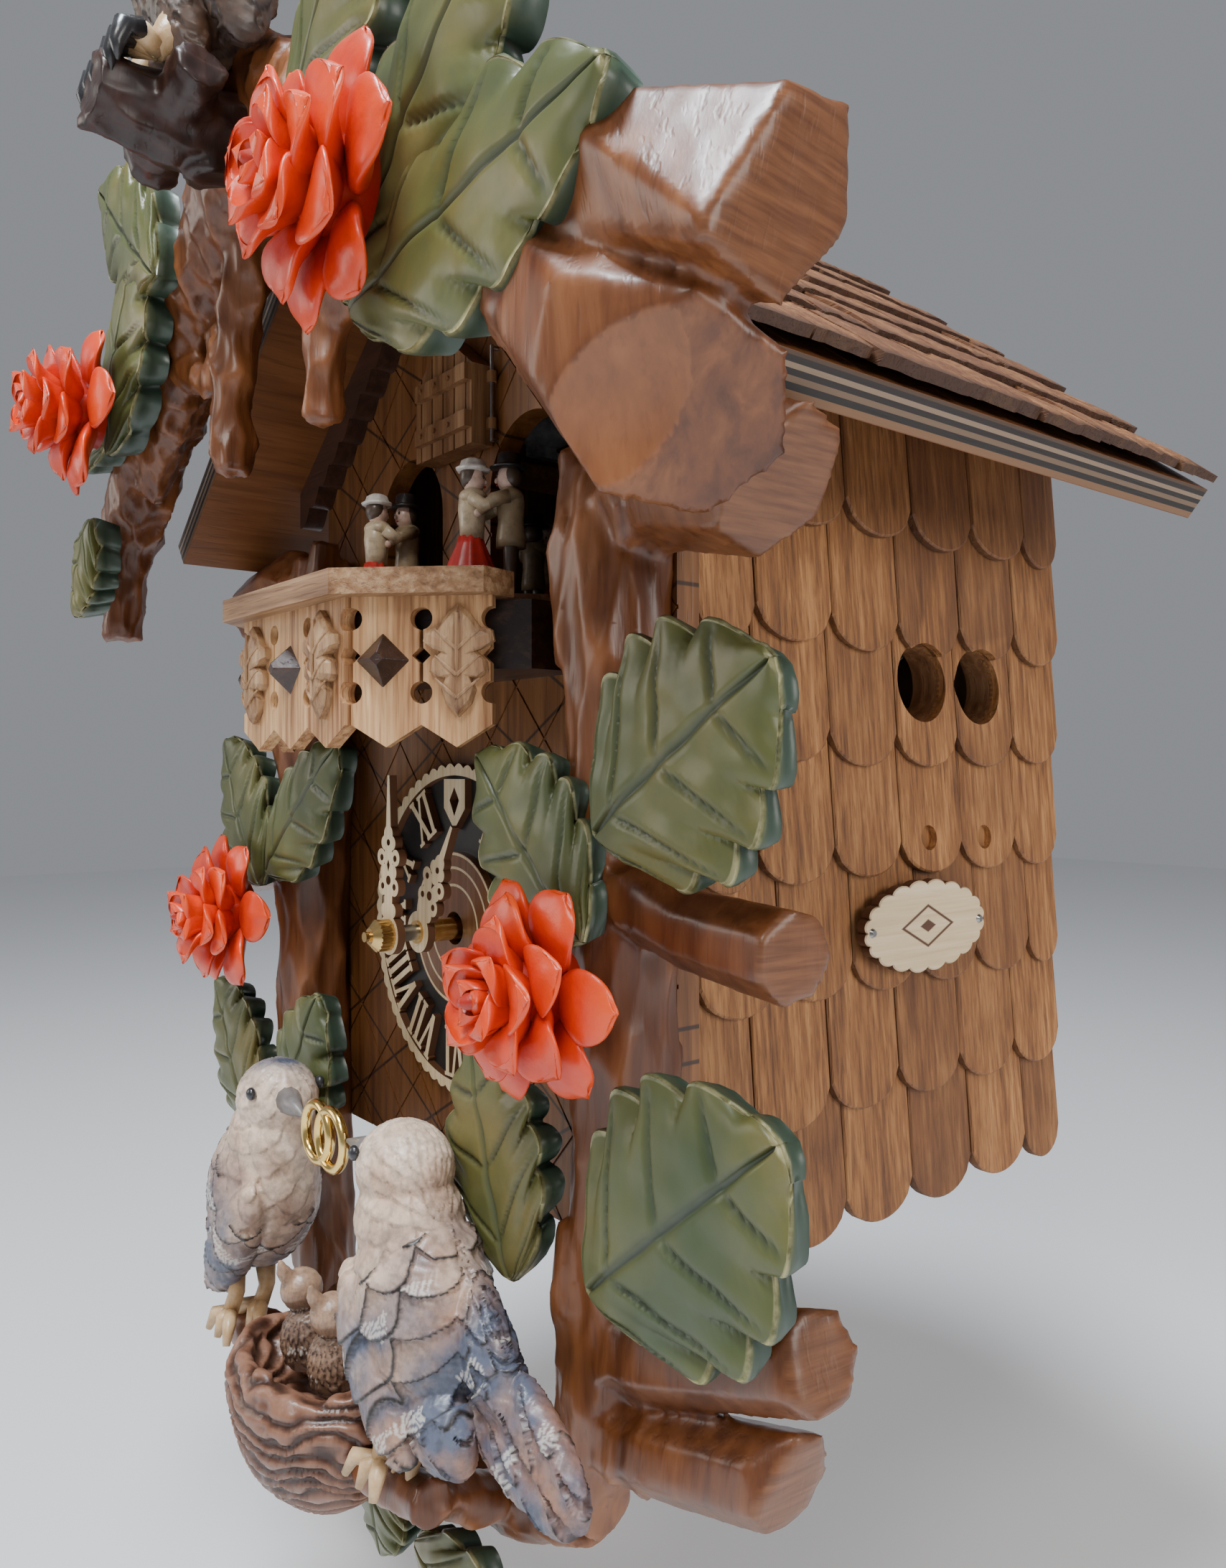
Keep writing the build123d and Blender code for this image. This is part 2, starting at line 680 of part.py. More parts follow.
def gear_crown():
    """Crown wheel under the disc, its teeth pointing down, driven by the music drum's pinion."""
    ring = rod((0, TURN_Y, CROWN_TIP + 3), (0, TURN_Y, TURN_TOP - 4), 14.0)
    for k in range(CROWN_TEETH):
        turn = Pos(0, TURN_Y, 0) * Rot(0, 0, 360 * k / CROWN_TEETH + 90)
        ring += turn * block(9.5, 14.0, -0.5, 0.5, CROWN_TIP, CROWN_TIP + 4)
    return ring


def dancing_couple(x, y):
    """A pair on a round foot: a wide skirt and a coat, joined by the arms."""
    foot = TURN_TOP
    skirt = rod((x - 7, y, foot), (x - 7, y, foot + 22), 11.3, 4.6)
    blouse = rod((x - 7, y, foot + 22), (x - 6, y, foot + 37), 4.5, 5.0)
    head = egg((x - 6, y, foot + 41), (4.4, 4.4, 5.2))
    bonnet = rod((x - 6, y, foot + 44), (x - 6, y, foot + 49), 5.6, 3.4)
    legs = rod((x + 8, y, foot), (x + 7, y, foot + 20), 4.4, 4.6)
    coat = rod((x + 7, y, foot + 20), (x + 6.5, y, foot + 38), 5.4, 5.2)
    man = egg((x + 6, y, foot + 42), (4.4, 4.4, 5.2))
    brim = rod((x + 6, y, foot + 45), (x + 6, y, foot + 46.5), 7.0)
    hat = rod((x + 6, y, foot + 46.5), (x + 6, y, foot + 51), 4.2)
    arms = rod((x - 7, y - 5, foot + 33), (x + 7, y - 5, foot + 34), 2.3)
    arms += rod((x - 7, y + 5, foot + 33), (x + 7, y + 5, foot + 34), 2.3)
    return skirt + blouse + head + bonnet + legs + coat + man + brim + hat + arms


def dancers():
    couples = []
    for k in range(4):
        angle = radians(45 + 90 * k)
        couple = dancing_couple(0, 0)
        place = Pos(COUPLE_R * cos(angle), TURN_Y + COUPLE_R * sin(angle), 0)
        couples.append(place * Rot(0, 0, COUPLE_TURNS[k]) * couple)
    return together(*couples)


# ================= dial and hands =================

def dial_disc():
    disc = rod((0, FRONT_FACE, DIAL_Z), (0, FRONT_FACE - 2, DIAL_Z), DIAL_R - 1)
    return disc - rod((0, FRONT_FACE + 1, DIAL_Z), (0, FRONT_FACE - 3, DIAL_Z), 6.2)


def bar(x0, z0, x1, z1, wide):
    """Straight stroke between two points of the dial's plane."""
    length = hypot(x1 - x0, z1 - z0)
    nx = -(z1 - z0) / length * wide / 2
    nz = (x1 - x0) / length * wide / 2
    return slab_y([(x0 + nx, z0 + nz), (x1 + nx, z1 + nz), (x1 - nx, z1 - nz), (x0 - nx, z0 - nz)],
                  FRONT_FACE - 5, FRONT_FACE - 2)


def numeral(text):
    """Roman numeral, upright at the top of the dial, with serifs."""
    low, high = 38.0, 55.5
    widths = {"I": 4.6, "V": 9.6, "X": 9.6}
    x = -sum(widths[letter] for letter in text) / 2
    strokes = []
    for letter in text:
        wide = widths[letter]
        left, right = x + 1.6, x + wide - 1.6
        middle = x + wide / 2
        if letter == "I":
            strokes.append(bar(middle, low, middle, high, 2.3))
            feet = (middle,)
        elif letter == "V":
            strokes.append(bar(left, high, middle, low, 2.3))
            strokes.append(bar(right, high, middle, low, 1.5))
            feet = (left, right)
        else:
            strokes.append(bar(left, high, right, low, 2.3))
            strokes.append(bar(right, high, left, low, 1.5))
            feet = (left, right)
        for foot in feet:
            strokes.append(bar(foot - 1.9, high, foot + 1.9, high, 1.4))
            if letter != "V":
                strokes.append(bar(foot - 1.9, low, foot + 1.9, low, 1.4))
        x += wide
    shape = strokes[0]
    for stroke in strokes[1:]:
        shape += stroke
    return shape


def dial_numerals():
    """Scalloped outer ring, eleven numerals and a plain shield at twelve."""
    points = []
    for k in range(240):
        angle = 2 * pi * k / 240
        radius = DIAL_R - 1.6 + 1.6 * abs(sin(30 * angle))
        points.append((radius * cos(angle), radius * sin(angle)))
    ring = slab_y(points, FRONT_FACE - 5, FRONT_FACE - 2)
    ring -= rod((0, -20, 0), (0, 0, 0), DIAL_R - 4.6)
    names = ("I", "II", "III", "IIII", "V", "VI", "VII", "VIII", "IX", "X", "XI")
    marks = []
    for hour, name in enumerate(names, start=1):
        marks.append(Rot(0, 30 * hour, 0) * numeral(name))
    shield = slab_y([(-7.5, 56), (7.5, 56), (7.5, 45), (0, 37), (-7.5, 45)], FRONT_FACE - 5, FRONT_FACE - 2)
    shield -= slab_y([(-3.4, 48), (0, 53), (3.4, 48), (0, 42)], FRONT_FACE - 6, FRONT_FACE - 1)
    return Pos(0, 0, DIAL_Z) * together(ring, shield, *marks)


def dial_centre():
    disc = rod((0, FRONT_FACE - 2, DIAL_Z), (0, FRONT_FACE - 5, DIAL_Z), 28.7)
    disc -= rod((0, 0, DIAL_Z), (0, -20, DIAL_Z), 6.2)
    for radius in (22.7, 16.2):
        disc -= inlay_ring(radius)
    return disc - inlay_ring(27.9)


def inlay_ring(radius):
    outer = rod((0, FRONT_FACE - 4, DIAL_Z), (0, FRONT_FACE - 5, DIAL_Z), radius + 0.5)
    return outer - rod((0, FRONT_FACE - 3, DIAL_Z), (0, FRONT_FACE - 6, DIAL_Z), radius - 0.5)


def dial_inlays():
    return together(inlay_ring(27.9), inlay_ring(22.7), inlay_ring(16.2))


def fret_hand(length, y_front, eye, bore):
    """Carved hand pointing up: an eye, curled lobes with cut-outs, and a long point."""
    y_back = y_front + 3.0

    def puck(x, z, radius):
        return rod((x, y_front, z), (x, y_back, z), radius)

    def hole(x, z, radius):
        return rod((x, y_front - 1, z), (x, y_back + 1, z), radius)

    body = puck(0, 0, eye)
    neck = length * 0.3
    crown = length * 0.52
    body += slab_y([(-2.4, 0), (2.4, 0), (3.0, neck), (2.6, crown + 5), (-2.6, crown + 5), (-3.0, neck)],
                   y_front, y_back)
    for sign in (-1, 1):
        body += puck(sign * 2.8, eye + 1.6, 2.6)
        body += puck(sign * 4.2, neck, 3.2)
        body += puck(sign * 3.2, neck + 5.4, 2.8)
        body += puck(sign * 5.2, crown - 2.0, 3.0)
        body += puck(sign * 2.6, crown + 3.2, 2.6)
    body += puck(0, crown + 6.4, 3.2)
    body += slab_y([(-1.9, crown + 6), (1.9, crown + 6), (0.7, length), (-0.7, length)], y_front, y_back)
    body -= hole(0, neck + 2.4, 1.7)
    body -= slab_y([(0, neck + 5.4), (1.1, neck + 8), (0, crown - 2.6), (-1.1, neck + 8)],
                   y_front - 1, y_back + 1)
    body -= hole(0, crown + 3.4, 1.2)
    for sign in (-1, 1):
        body -= hole(sign * 4.9, crown - 2.2, 1.2)
        body -= hole(sign * 4.3, neck + 0.2, 1.2)
    return body - hole(0, 0, bore)


def minute_hand():
    return Pos(0, 0, DIAL_Z) * fret_hand(57.5, -41.5, 7.2, ARBOR_R)


def hour_hand():
    return Pos(0, 0, DIAL_Z) * Rot(0, 31, 0) * fret_hand(46.0, -29.5, 7.6, HOUR_TUBE_R)


def hand_nut():
    nut = rod((0, -41.5, DIAL_Z), (0, -46.5, DIAL_Z), 5.75)
    nut += rod((0, -46.5, DIAL_Z), (0, -49.0, DIAL_Z), 5.75, 3.0)
    nut += rod((0, -49.0, DIAL_Z), (0, -51.0, DIAL_Z), 1.8)
    nut -= rod((0, -41.0, DIAL_Z), (0, -44.0, DIAL_Z), ARBOR_R)
    for k in range(20):
        angle = 2 * pi * k / 20
        x = 5.9 * cos(angle)
        z = DIAL_Z + 5.9 * sin(angle)
        nut -= rod((x, -41.0, z), (x, -47.0, z), 0.45)
    return nut


# ================= movement =================

def movement_plate(y):
    """One brass plate with the bearing holes of all the arbors."""
    plate = block(-40, 40, y, y + PLATE_T, 30, 172)
    plate -= rod((0, 10, DIAL_Z), (0, 60, DIAL_Z), ARBOR_R + 0.06)
    for z in (GREAT_Z, THIRD_Z, ESCAPE_Z, VERGE_Z):
        plate -= rod((0, 10, z), (0, 60, z), PIVOT_HOLE)
    return plate


def movement_pillars():
    """Pillars between the plates and in front of them, and the stud of the motion wheel."""
    pillars = [rod((MOTION_X, 3, DIAL_Z), (MOTION_X, PLATE_FRONT, DIAL_Z), PIVOT_R)]
    for x in (-34, 34):
        for z in (38, 164):
            pillars.append(rod((x, PLATE_FRONT + PLATE_T, z), (x, PLATE_BACK, z), 3.0))
            pillars.append(rod((x, 0, z), (x, PLATE_FRONT, z), 3.0))
    return pillars


def centre_arbor():
    """Minute arbor with its cannon pinion, drive pinion and centre wheel."""
    arbor = rod((0, -44.0, DIAL_Z), (0, PLATE_BACK + 2, DIAL_Z), ARBOR_R)
    cannon = gear(12, 0.75, 9, 11, 0, DIAL_Z, tooth_at(12, 0), 0)
    drive = gear(12, 0.8, 18, 20.5, 0, DIAL_Z, tooth_at(12, -pi / 2), 0)
    wheel = gear(60, 0.7, 24, 26, 0, DIAL_Z, tooth_at(60, pi / 2), 0)
    wheel = spoked(wheel, 24, 26, 0, DIAL_Z, 17.5, 7.0)
    collar = rod((0, 20.5, DIAL_Z), (0, 24, DIAL_Z), 5.0)
    return arbor + cannon + drive + wheel + collar


def hour_tube():
    tube = rod((0, -30.5, DIAL_Z), (0, 7, DIAL_Z), HOUR_TUBE_R)
    wheel = gear(40, 0.72, 5, 7, 0, DIAL_Z, gap_at(40, 0), 0)
    return tube + wheel - rod((0, -31, DIAL_Z), (0, 8, DIAL_Z), HOUR_BORE)


def motion_wheel():
    wheel = gear(36, 0.75, 9, 11, MOTION_X, DIAL_Z, gap_at(36, pi), PIVOT_HOLE)
    pinion = gear(10, 0.72, 4.5, 9, MOTION_X, DIAL_Z, tooth_at(10, pi), PIVOT_HOLE)
    return wheel + pinion


def great_wheel():
    """First wheel with its chain sprocket."""
    wheel = gear(72, 0.8, 18, 20.5, 0, GREAT_Z, gap_at(72, pi / 2), 0)
    wheel = spoked(wheel, 18, 20.5, 0, GREAT_Z, 25.0, 8.0, 6)
    arbor = rod((0, PLATE_FRONT, GREAT_Z), (0, PLATE_BACK + 2, GREAT_Z), PIVOT_R)
    hub = rod((0, 17, GREAT_Z), (0, 52, GREAT_Z), 4.0)
    sprocket = gear(16, 1.5, 36, 40, 0, GREAT_Z, 0, 0)
    return wheel + arbor + hub + sprocket


def third_wheel():
    wheel = gear(60, 0.6, 36, 37.5, 0, THIRD_Z, tooth_at(60, pi / 2), 0)
    wheel = spoked(wheel, 36, 37.5, 0, THIRD_Z, 15.0, 5.0)
    pinion = gear(10, 0.7, 22, 28, 0, THIRD_Z, gap_at(10, -pi / 2), 0)
    arbor = rod((0, PLATE_FRONT, THIRD_Z), (0, PLATE_BACK + 2, THIRD_Z), PIVOT_R)
    return wheel + pinion + arbor


def escape_wheel():
    wheel = gear(24, 0.9, 46, 47.2, 0, ESCAPE_Z, 0, 0)
    wheel = spoked(wheel, 46, 47.2, 0, ESCAPE_Z, 8.0, 3.6)
    pinion = gear(10, 0.6, 34.5, 39, 0, ESCAPE_Z, gap_at(10, -pi / 2), 0)
    arbor = rod((0, PLATE_FRONT, ESCAPE_Z), (0, PLATE_BACK + 2, ESCAPE_Z), PIVOT_R)
    return wheel + pinion + arbor


def verge():
    """Anchor, its arbor and the crutch that pushes the pendulum."""
    anchor = slab_y([(0, VERGE_Z + 3.5), (-14, VERGE_Z - 8), (-13, VERGE_Z - 11), (-11, VERGE_Z - 9),
                     (0, VERGE_Z - 2.6), (11, VERGE_Z - 9), (13, VERGE_Z - 11), (14, VERGE_Z - 8)],
                    45.6, 47.6)
    arbor = rod((0, PLATE_FRONT, VERGE_Z), (0, 60, VERGE_Z), PIVOT_R)
    crutch = rod((0, 59, VERGE_Z + 1), (0, 59, 104), 1.0)
    fork = block(-3.0, 3.0, 58, 64.4, 103, 105)
    fork += block(-3.0, -1.4, 64, 69, 103, 105)
    fork += block(1.4, 3.0, 64, 69, 103, 105)
    return anchor + arbor + crutch + fork


def pendulum_bracket():
    arm = block(-5, 5, PLATE_BACK + PLATE_T, 74, VERGE_Z + 5, VERGE_Z + 8)
    arm += block(-5, 5, 71.5, 74, VERGE_Z - 4, VERGE_Z + 5)
    return arm + rod((0, 65, VERGE_Z), (0, 72, VERGE_Z), 1.4)


def pendulum_rod():
    rod_solid = rod((0, PENDULUM_Y, VERGE_Z - 3), (0, PENDULUM_Y, -70), 1.2)
    eye = rod((0, 66, VERGE_Z), (0, 68, VERGE_Z), 3.6)
    return rod_solid + eye - rod((0, 65, VERGE_Z), (0, 69, VERGE_Z), 1.46)


def pendulum_bob():
    """Carved leaf on the rod, with a clip groove behind."""
    bob = slab_y(leaf_outline((0, -36), (0, -112), 58), PENDULUM_Y - 6, PENDULUM_Y + 2)
    return bob - rod((0, PENDULUM_Y, 0), (0, PENDULUM_Y, -70), 1.2)


# ================= sound and music =================

def pipe(x):
    """Wooden whistle with its mouth towards the side wall and the bellows seat on top."""
    sign = 1 if x > 0 else -1
    body = block(x - 12, x + 12, 90, 118, FLOOR_Z + 10, 196)
    body -= block(x - 8, x + 8, 94, 114, FLOOR_Z + 12, 180)
    body -= block(x + sign * 7 - 6, x + sign * 7 + 6, 98, 110, 160, 172)
    return body


def bellows_fold(x):
    """Leather folds, closed, under the hinged top."""
    return block(x - 12, x + 12, 90, 118, 196, 203)


def bellows_top(x):
    board = block(x - 13, x + 13, 90, 120, 203.3, 207)
    pin = rod((x - 13, 92, 205), (x + 13, 92, 205), 1.2)
    return board + pin


def gong():
    """Flat coil of steel wire on a cast block, drawn as linked rings."""
    block_solid = block(52, 66, 180, CASE_DEPTH - BOARD, 222, 240)
    coil = None
    for radius in (26, 21, 16):
        ring = Pos(38, 186, 228) * Rot(90, 0, 0) * Torus(radius, 1.1)
        coil = ring if coil is None else coil + ring
    coil += rod((38 + 15, 186, 228), (38 + 27, 186, 228), 1.2)
    return together(block_solid + coil)


def gong_hammer():
    arm = rod((38, 178, 262), (38, 178, 208), 1.2)
    head = rod((38, 172, 208), (38, 182, 208), 4.0)
    pivot = rod((30, 178, 262), (46, 178, 262), 1.5)
    return arm + head + pivot


def hammer_bracket():
    plate = block(26, 50, 190, CASE_DEPTH - BOARD, 254, 270)
    ears = block(26, 29, 173, 190, 258, 266) + block(47, 50, 173, 190, 258, 266)
    holes = rod((20, 178, 262), (56, 178, 262), 1.56)
    return plate + ears - holes


def music_bed():
    """Bed plate of the music box with two bearing posts."""
    bed = block(-20, 24, 40, 124, 184, 187)
    for y in (43, 112):
        bed += block(-6, 6, y, y + 4, 187, 201)
    return bed - rod((0, 30, DRUM_Z), (0, 130, DRUM_Z), PIVOT_HOLE)


def music_comb():
    """Steel comb, its teeth pointing at the drum."""
    comb = block(12, 22, 54, 106, 187, 195.5)
    comb += block(7.2, 22, 54, 106, 195.5, 197)
    for k in range(17):
        y = 55.6 + 3.0 * k
        comb -= block(7, 13.5, y, y + 0.6, 195, 198)
    return comb


def music_drum():
    """Pinned drum with the pinion that turns the dancers."""
    drum = rod((0, 50, DRUM_Z), (0, 108, DRUM_Z), 6.5)
    drum += rod((0, 24, DRUM_Z), (0, 118, DRUM_Z), PIVOT_R)
    return drum + gear(DRUM_TEETH, 1.0, 24.5, 28.5, 0, DRUM_Z, tooth_at(DRUM_TEETH, pi / 2) + 0.5, 0)


def cuckoo():
    """Small bird on an arm of its sliding carriage."""
    bird = egg((0, 26, 294), (8.5, 15, 8))
    bird += egg((0, 14, 300), (6, 6, 6))
    bird += rod((0, 9, 300), (0, 2.5, 299), 2.2, 0.6)
    bird += slab_x([(38, 296), (38, 293), (58, 286), (58, 290)], -4, 4)
    bird += block(-2, 2, 20, 32, 282, 290)
    arm = block(-2, 2, 20, 60, 282, 285)
    carriage = block(-6, 6, 40, 64, 276.1, 284)
    carriage -= block(-2.56, 2.56, 39, 65, 275, 278.6)
    return bird + arm + carriage


def cuckoo_door():
    """House-shaped door with upright ribs."""
    points = [(-DOOR_HALF, DOOR_LOW), (DOOR_HALF, DOOR_LOW), (DOOR_HALF, DOOR_SHOULDER),
              (0, DOOR_PEAK), (-DOOR_HALF, DOOR_SHOULDER)]
    door = slab_y(points, -19, -10)
    for k in range(5):
        x = -16 + 8 * k
        door -= block(x - 0.5, x + 0.5, -19.5, -18.2, DOOR_LOW - 1, DOOR_PEAK + 1)
    for z in (281.5, 298.5):
        door += block(DOOR_HALF - 1, HINGE_X, HINGE_Y - 1.2, HINGE_Y + 1.2, z, z + 4)
        door += rod((HINGE_X, HINGE_Y, z), (HINGE_X, HINGE_Y, z + 4), 1.8)
        door -= rod((HINGE_X, HINGE_Y, z - 1), (HINGE_X, HINGE_Y, z + 5), 0.86)
    return door


def door_battens():
    """Two cross battens with nail heads, and the dark straps at their hinge ends."""
    pieces = []
    for z in (281.5, 298.5):
        batten = block(-17, 13, -21.5, -19, z, z + 6)
        for x in (-12, -2, 8):
            batten += rod((x, -21.5, z + 3), (x, -22.3, z + 3), 0.9)
        pieces.append(batten)
        pieces.append(block(13, 20, -22, -19, z, z + 6))
    return together(*pieces)


def door_hinge_wire():
    """Wire that the door turns on, with its two ends driven into the front board."""
    wire = rod((HINGE_X, HINGE_Y, 277), (HINGE_X, HINGE_Y, 312), 0.8)
    for z in (277.8, 311.2):
        wire += rod((HINGE_X, HINGE_Y, z), (HINGE_X, FRONT_FACE, z), 0.8)
    return wire


# ================= grouped sub-parts =================

def both_sides(maker):
    """A right-hand piece and its mirror image, as one group."""
    piece = maker()
    return together(piece, mirror_x(piece))


def side_shingles():
    return both_sides(side_shingles_right)


def roof_shingles():
    return both_sides(roof_shingles_right)


def trunks():
    return both_sides(trunk_right)


def gable_branches():
    return together(gable_branch_right(), gable_branch_left())


def trunk_leaves():
    return together(right_leaves(), left_leaves(), bottom_leaves())


def inner_shelves():
    return together(music_shelf(), cuckoo_rail())


def rear_door_and_knob():
    return together(rear_door(), rear_door_knob())


def cuckoo_pipes():
    return together(pipe(87), bellows_fold(87), pipe(-87), bellows_fold(-87))


def bellows_top_right():
    return bellows_top(87)


def bellows_top_left():
    return bellows_top(-87)


def gong_and_bracket():
    return together(gong(), hammer_bracket())


def music_box():
    return together(music_bed(), music_comb())


def cuckoo_door_ribbed():
    return together(cuckoo_door(), door_battens())


def movement_frame():
    plates = [movement_plate(y) for y in (PLATE_FRONT, PLATE_BACK)]
    return together(*plates, *movement_pillars(), pendulum_bracket())


def dial_numerals_and_inlays():
    return together(dial_numerals(), dial_inlays())


def pins_and_hinge_wire():
    return together(badge_pins(), door_hinge_wire())


def songbird_right():
    return songbird(1)


def songbird_left():
    return songbird(-1)


# ================= write everything =================

for name, maker in (("side_panel", side_panel_right), ("roof_board", roof_board_right)):
    right = maker()
    save(f"{name}_right", right)
    save(f"{name}_left", mirror_x(right))

GROUPS = {"rear_door": rear_door_and_knob, "gong": gong_and_bracket, "cuckoo_door": cuckoo_door_ribbed,
          "movement_plates": movement_frame, "dial_numerals": dial_numerals_and_inlays}
for name, maker in GROUPS.items():
    save(name, maker())

SINGLES = (side_shingles, roof_shingles, trunks, gable_branches, trunk_leaves, inner_shelves,
           cuckoo_pipes, bellows_top_right, bellows_top_left, music_box, pins_and_hinge_wire,
           songbird_right, songbird_left, side_badge, front_panel, floor_board, back_panel,
           gable_trim, bottom_branch, gable_leaves, gable_roses, trunk_roses, owl_branch, owl,
           wedding_rings, nest, chicks, balcony_box, balcony_railing, balcony_rail_cap,
           railing_pyramids, railing_oak_leaves, turntable, dancers, dial_disc, dial_centre,
           minute_hand, hour_hand, hand_nut, centre_arbor, hour_tube, motion_wheel, great_wheel,
           third_wheel, escape_wheel, verge, pendulum_rod, pendulum_bob, gong_hammer, music_drum,
           cuckoo)
for maker in SINGLES:
    save(maker.__name__, maker())
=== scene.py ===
import math
import random

import bmesh
import bpy
import numpy as np
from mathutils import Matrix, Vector, noise


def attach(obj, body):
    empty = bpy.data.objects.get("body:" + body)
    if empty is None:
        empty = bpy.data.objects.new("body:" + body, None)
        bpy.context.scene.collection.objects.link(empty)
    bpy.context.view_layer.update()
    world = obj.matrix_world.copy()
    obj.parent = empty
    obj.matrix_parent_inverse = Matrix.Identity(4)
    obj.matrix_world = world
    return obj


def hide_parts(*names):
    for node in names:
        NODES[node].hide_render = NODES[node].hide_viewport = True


# Looks of the carved cuckoo clock. Lengths are millimetres in the case frame (X = 0 the centre line,
# Y = 0 the front corners of the case, Z = 0 the tips of the lowest side shingles) until placed()
# turns them into metres in the row frame, whose origin is the hanger hole at the wall.

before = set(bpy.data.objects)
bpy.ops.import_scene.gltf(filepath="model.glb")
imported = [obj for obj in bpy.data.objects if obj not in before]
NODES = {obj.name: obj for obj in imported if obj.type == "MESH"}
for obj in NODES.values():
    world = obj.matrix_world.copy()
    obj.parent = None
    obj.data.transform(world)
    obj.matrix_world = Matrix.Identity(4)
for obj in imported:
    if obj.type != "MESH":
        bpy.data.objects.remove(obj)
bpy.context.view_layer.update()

CASE_DEPTH = 208.0
HANGER_Z = 250.0
CASE_HALF = 113.0
RIDGE_Z = 387.0
PITCH = math.radians(38)
ROOF_FRONT = -58.0
ROOF_BOARD = 12.0
EAVE_X = 170.0
FRONT_FACE = -9.0
SHINGLE_STEP = 40.0
SHINGLE_WIDTH = 36.8
SHINGLE_OFFSETS = (35, 26, 2, 28, 27, 27, 34)
SIDE_HOLES = ((115.5, 190, 14.5), (151, 190, 14.5), (117.5, 133, 4.6), (153.5, 132, 4.6))
RAIL_FRONT = -78.6
RAIL_HALF = 41.4
RAIL_FACET = 49.0


def placed(points):
    """Case-frame millimetres to row-frame metres."""
    points = np.asarray(points, float).reshape(-1, 3)
    return (points + np.array([0.0, -CASE_DEPTH, -HANGER_Z])) / 1000.0


# ================= materials =================

class Nodes:
    """Short way to write a material's node tree."""

    def __init__(self, name):
        self.material = bpy.data.materials.new(name)
        self.material.use_nodes = True
        self.tree = self.material.node_tree
        self.shader = self.tree.nodes["Principled BSDF"]
        self.coords = self.tree.nodes.new("ShaderNodeTexCoord").outputs["Object"]

    def add(self, kind, **inputs):
        node = self.tree.nodes.new("ShaderNode" + kind)
        for key, value in inputs.items():
            self.put(node.inputs[key.replace("_", " ")], value)
        return node

    def put(self, socket, value):
        if isinstance(value, bpy.types.NodeSocket):
            self.tree.links.new(value, socket)
        else:
            socket.default_value = value

    def stretch(self, scale, rotation=(0, 0, 0)):
        node = self.add("Mapping", Vector=self.coords)
        node.inputs["Scale"].default_value = scale
        node.inputs["Rotation"].default_value = rotation
        return node.outputs["Vector"]

    def noise(self, vector, scale=1.0, detail=4.0, rough=0.55, warp=0.0):
        node = self.add("TexNoise", Vector=vector, Scale=scale, Detail=detail, Roughness=rough)
        node.inputs["Distortion"].default_value = warp
        return node.outputs["Fac"]

    def ramp(self, value, *stops):
        node = self.add("ValToRGB", Fac=value)
        band = node.color_ramp.elements
        while len(band) < len(stops):
            band.new(0.5)
        for element, (place, colour) in zip(band, stops):
            element.position = place
            element.color = (*colour, 1.0)
        return node.outputs["Color"]

    def grade(self, value, low, high):
        """Value stretched so that low becomes 0 and high becomes 1."""
        node = self.add("MapRange", Value=value)
        node.inputs["From Min"].default_value = low
        node.inputs["From Max"].default_value = high
        return node.outputs["Result"]

    def mix(self, factor, first, second, blend="MIX"):
        node = self.tree.nodes.new("ShaderNodeMix")
        node.data_type = "RGBA"
        node.blend_type = blend
        self.put(node.inputs[0], factor)
        self.put(node.inputs[6], (*first, 1.0) if isinstance(first, tuple) else first)
        self.put(node.inputs[7], (*second, 1.0) if isinstance(second, tuple) else second)
        return node.outputs[2]

    def math(self, operation, first, second=0.0):
        node = self.tree.nodes.new("ShaderNodeMath")
        node.operation = operation
        self.put(node.inputs[0], first)
        self.put(node.inputs[1], second)
        return node.outputs[0]

    def tone(self, name):
        """A painted value stored on the mesh."""
        node = self.tree.nodes.new("ShaderNodeAttribute")
        node.attribute_name = name
        return node.outputs["Fac"]

    def finish(self, colour, rough, height=None, bump=0.3, distance=0.0006, coat=0.0, metal=0.0):
        self.put(self.shader.inputs["Base Color"], colour)
        self.put(self.shader.inputs["Roughness"], rough)
        self.shader.inputs["Metallic"].default_value = metal
        self.shader.inputs["Coat Weight"].default_value = coat
        self.shader.inputs["Coat Roughness"].default_value = 0.25
        if height is not None:
            node = self.add("Bump", Height=height)
            node.inputs["Strength"].default_value = bump
            node.inputs["Distance"].default_value = distance
            self.tree.links.new(node.outputs["Normal"], self.shader.inputs["Normal"])
        return self.material


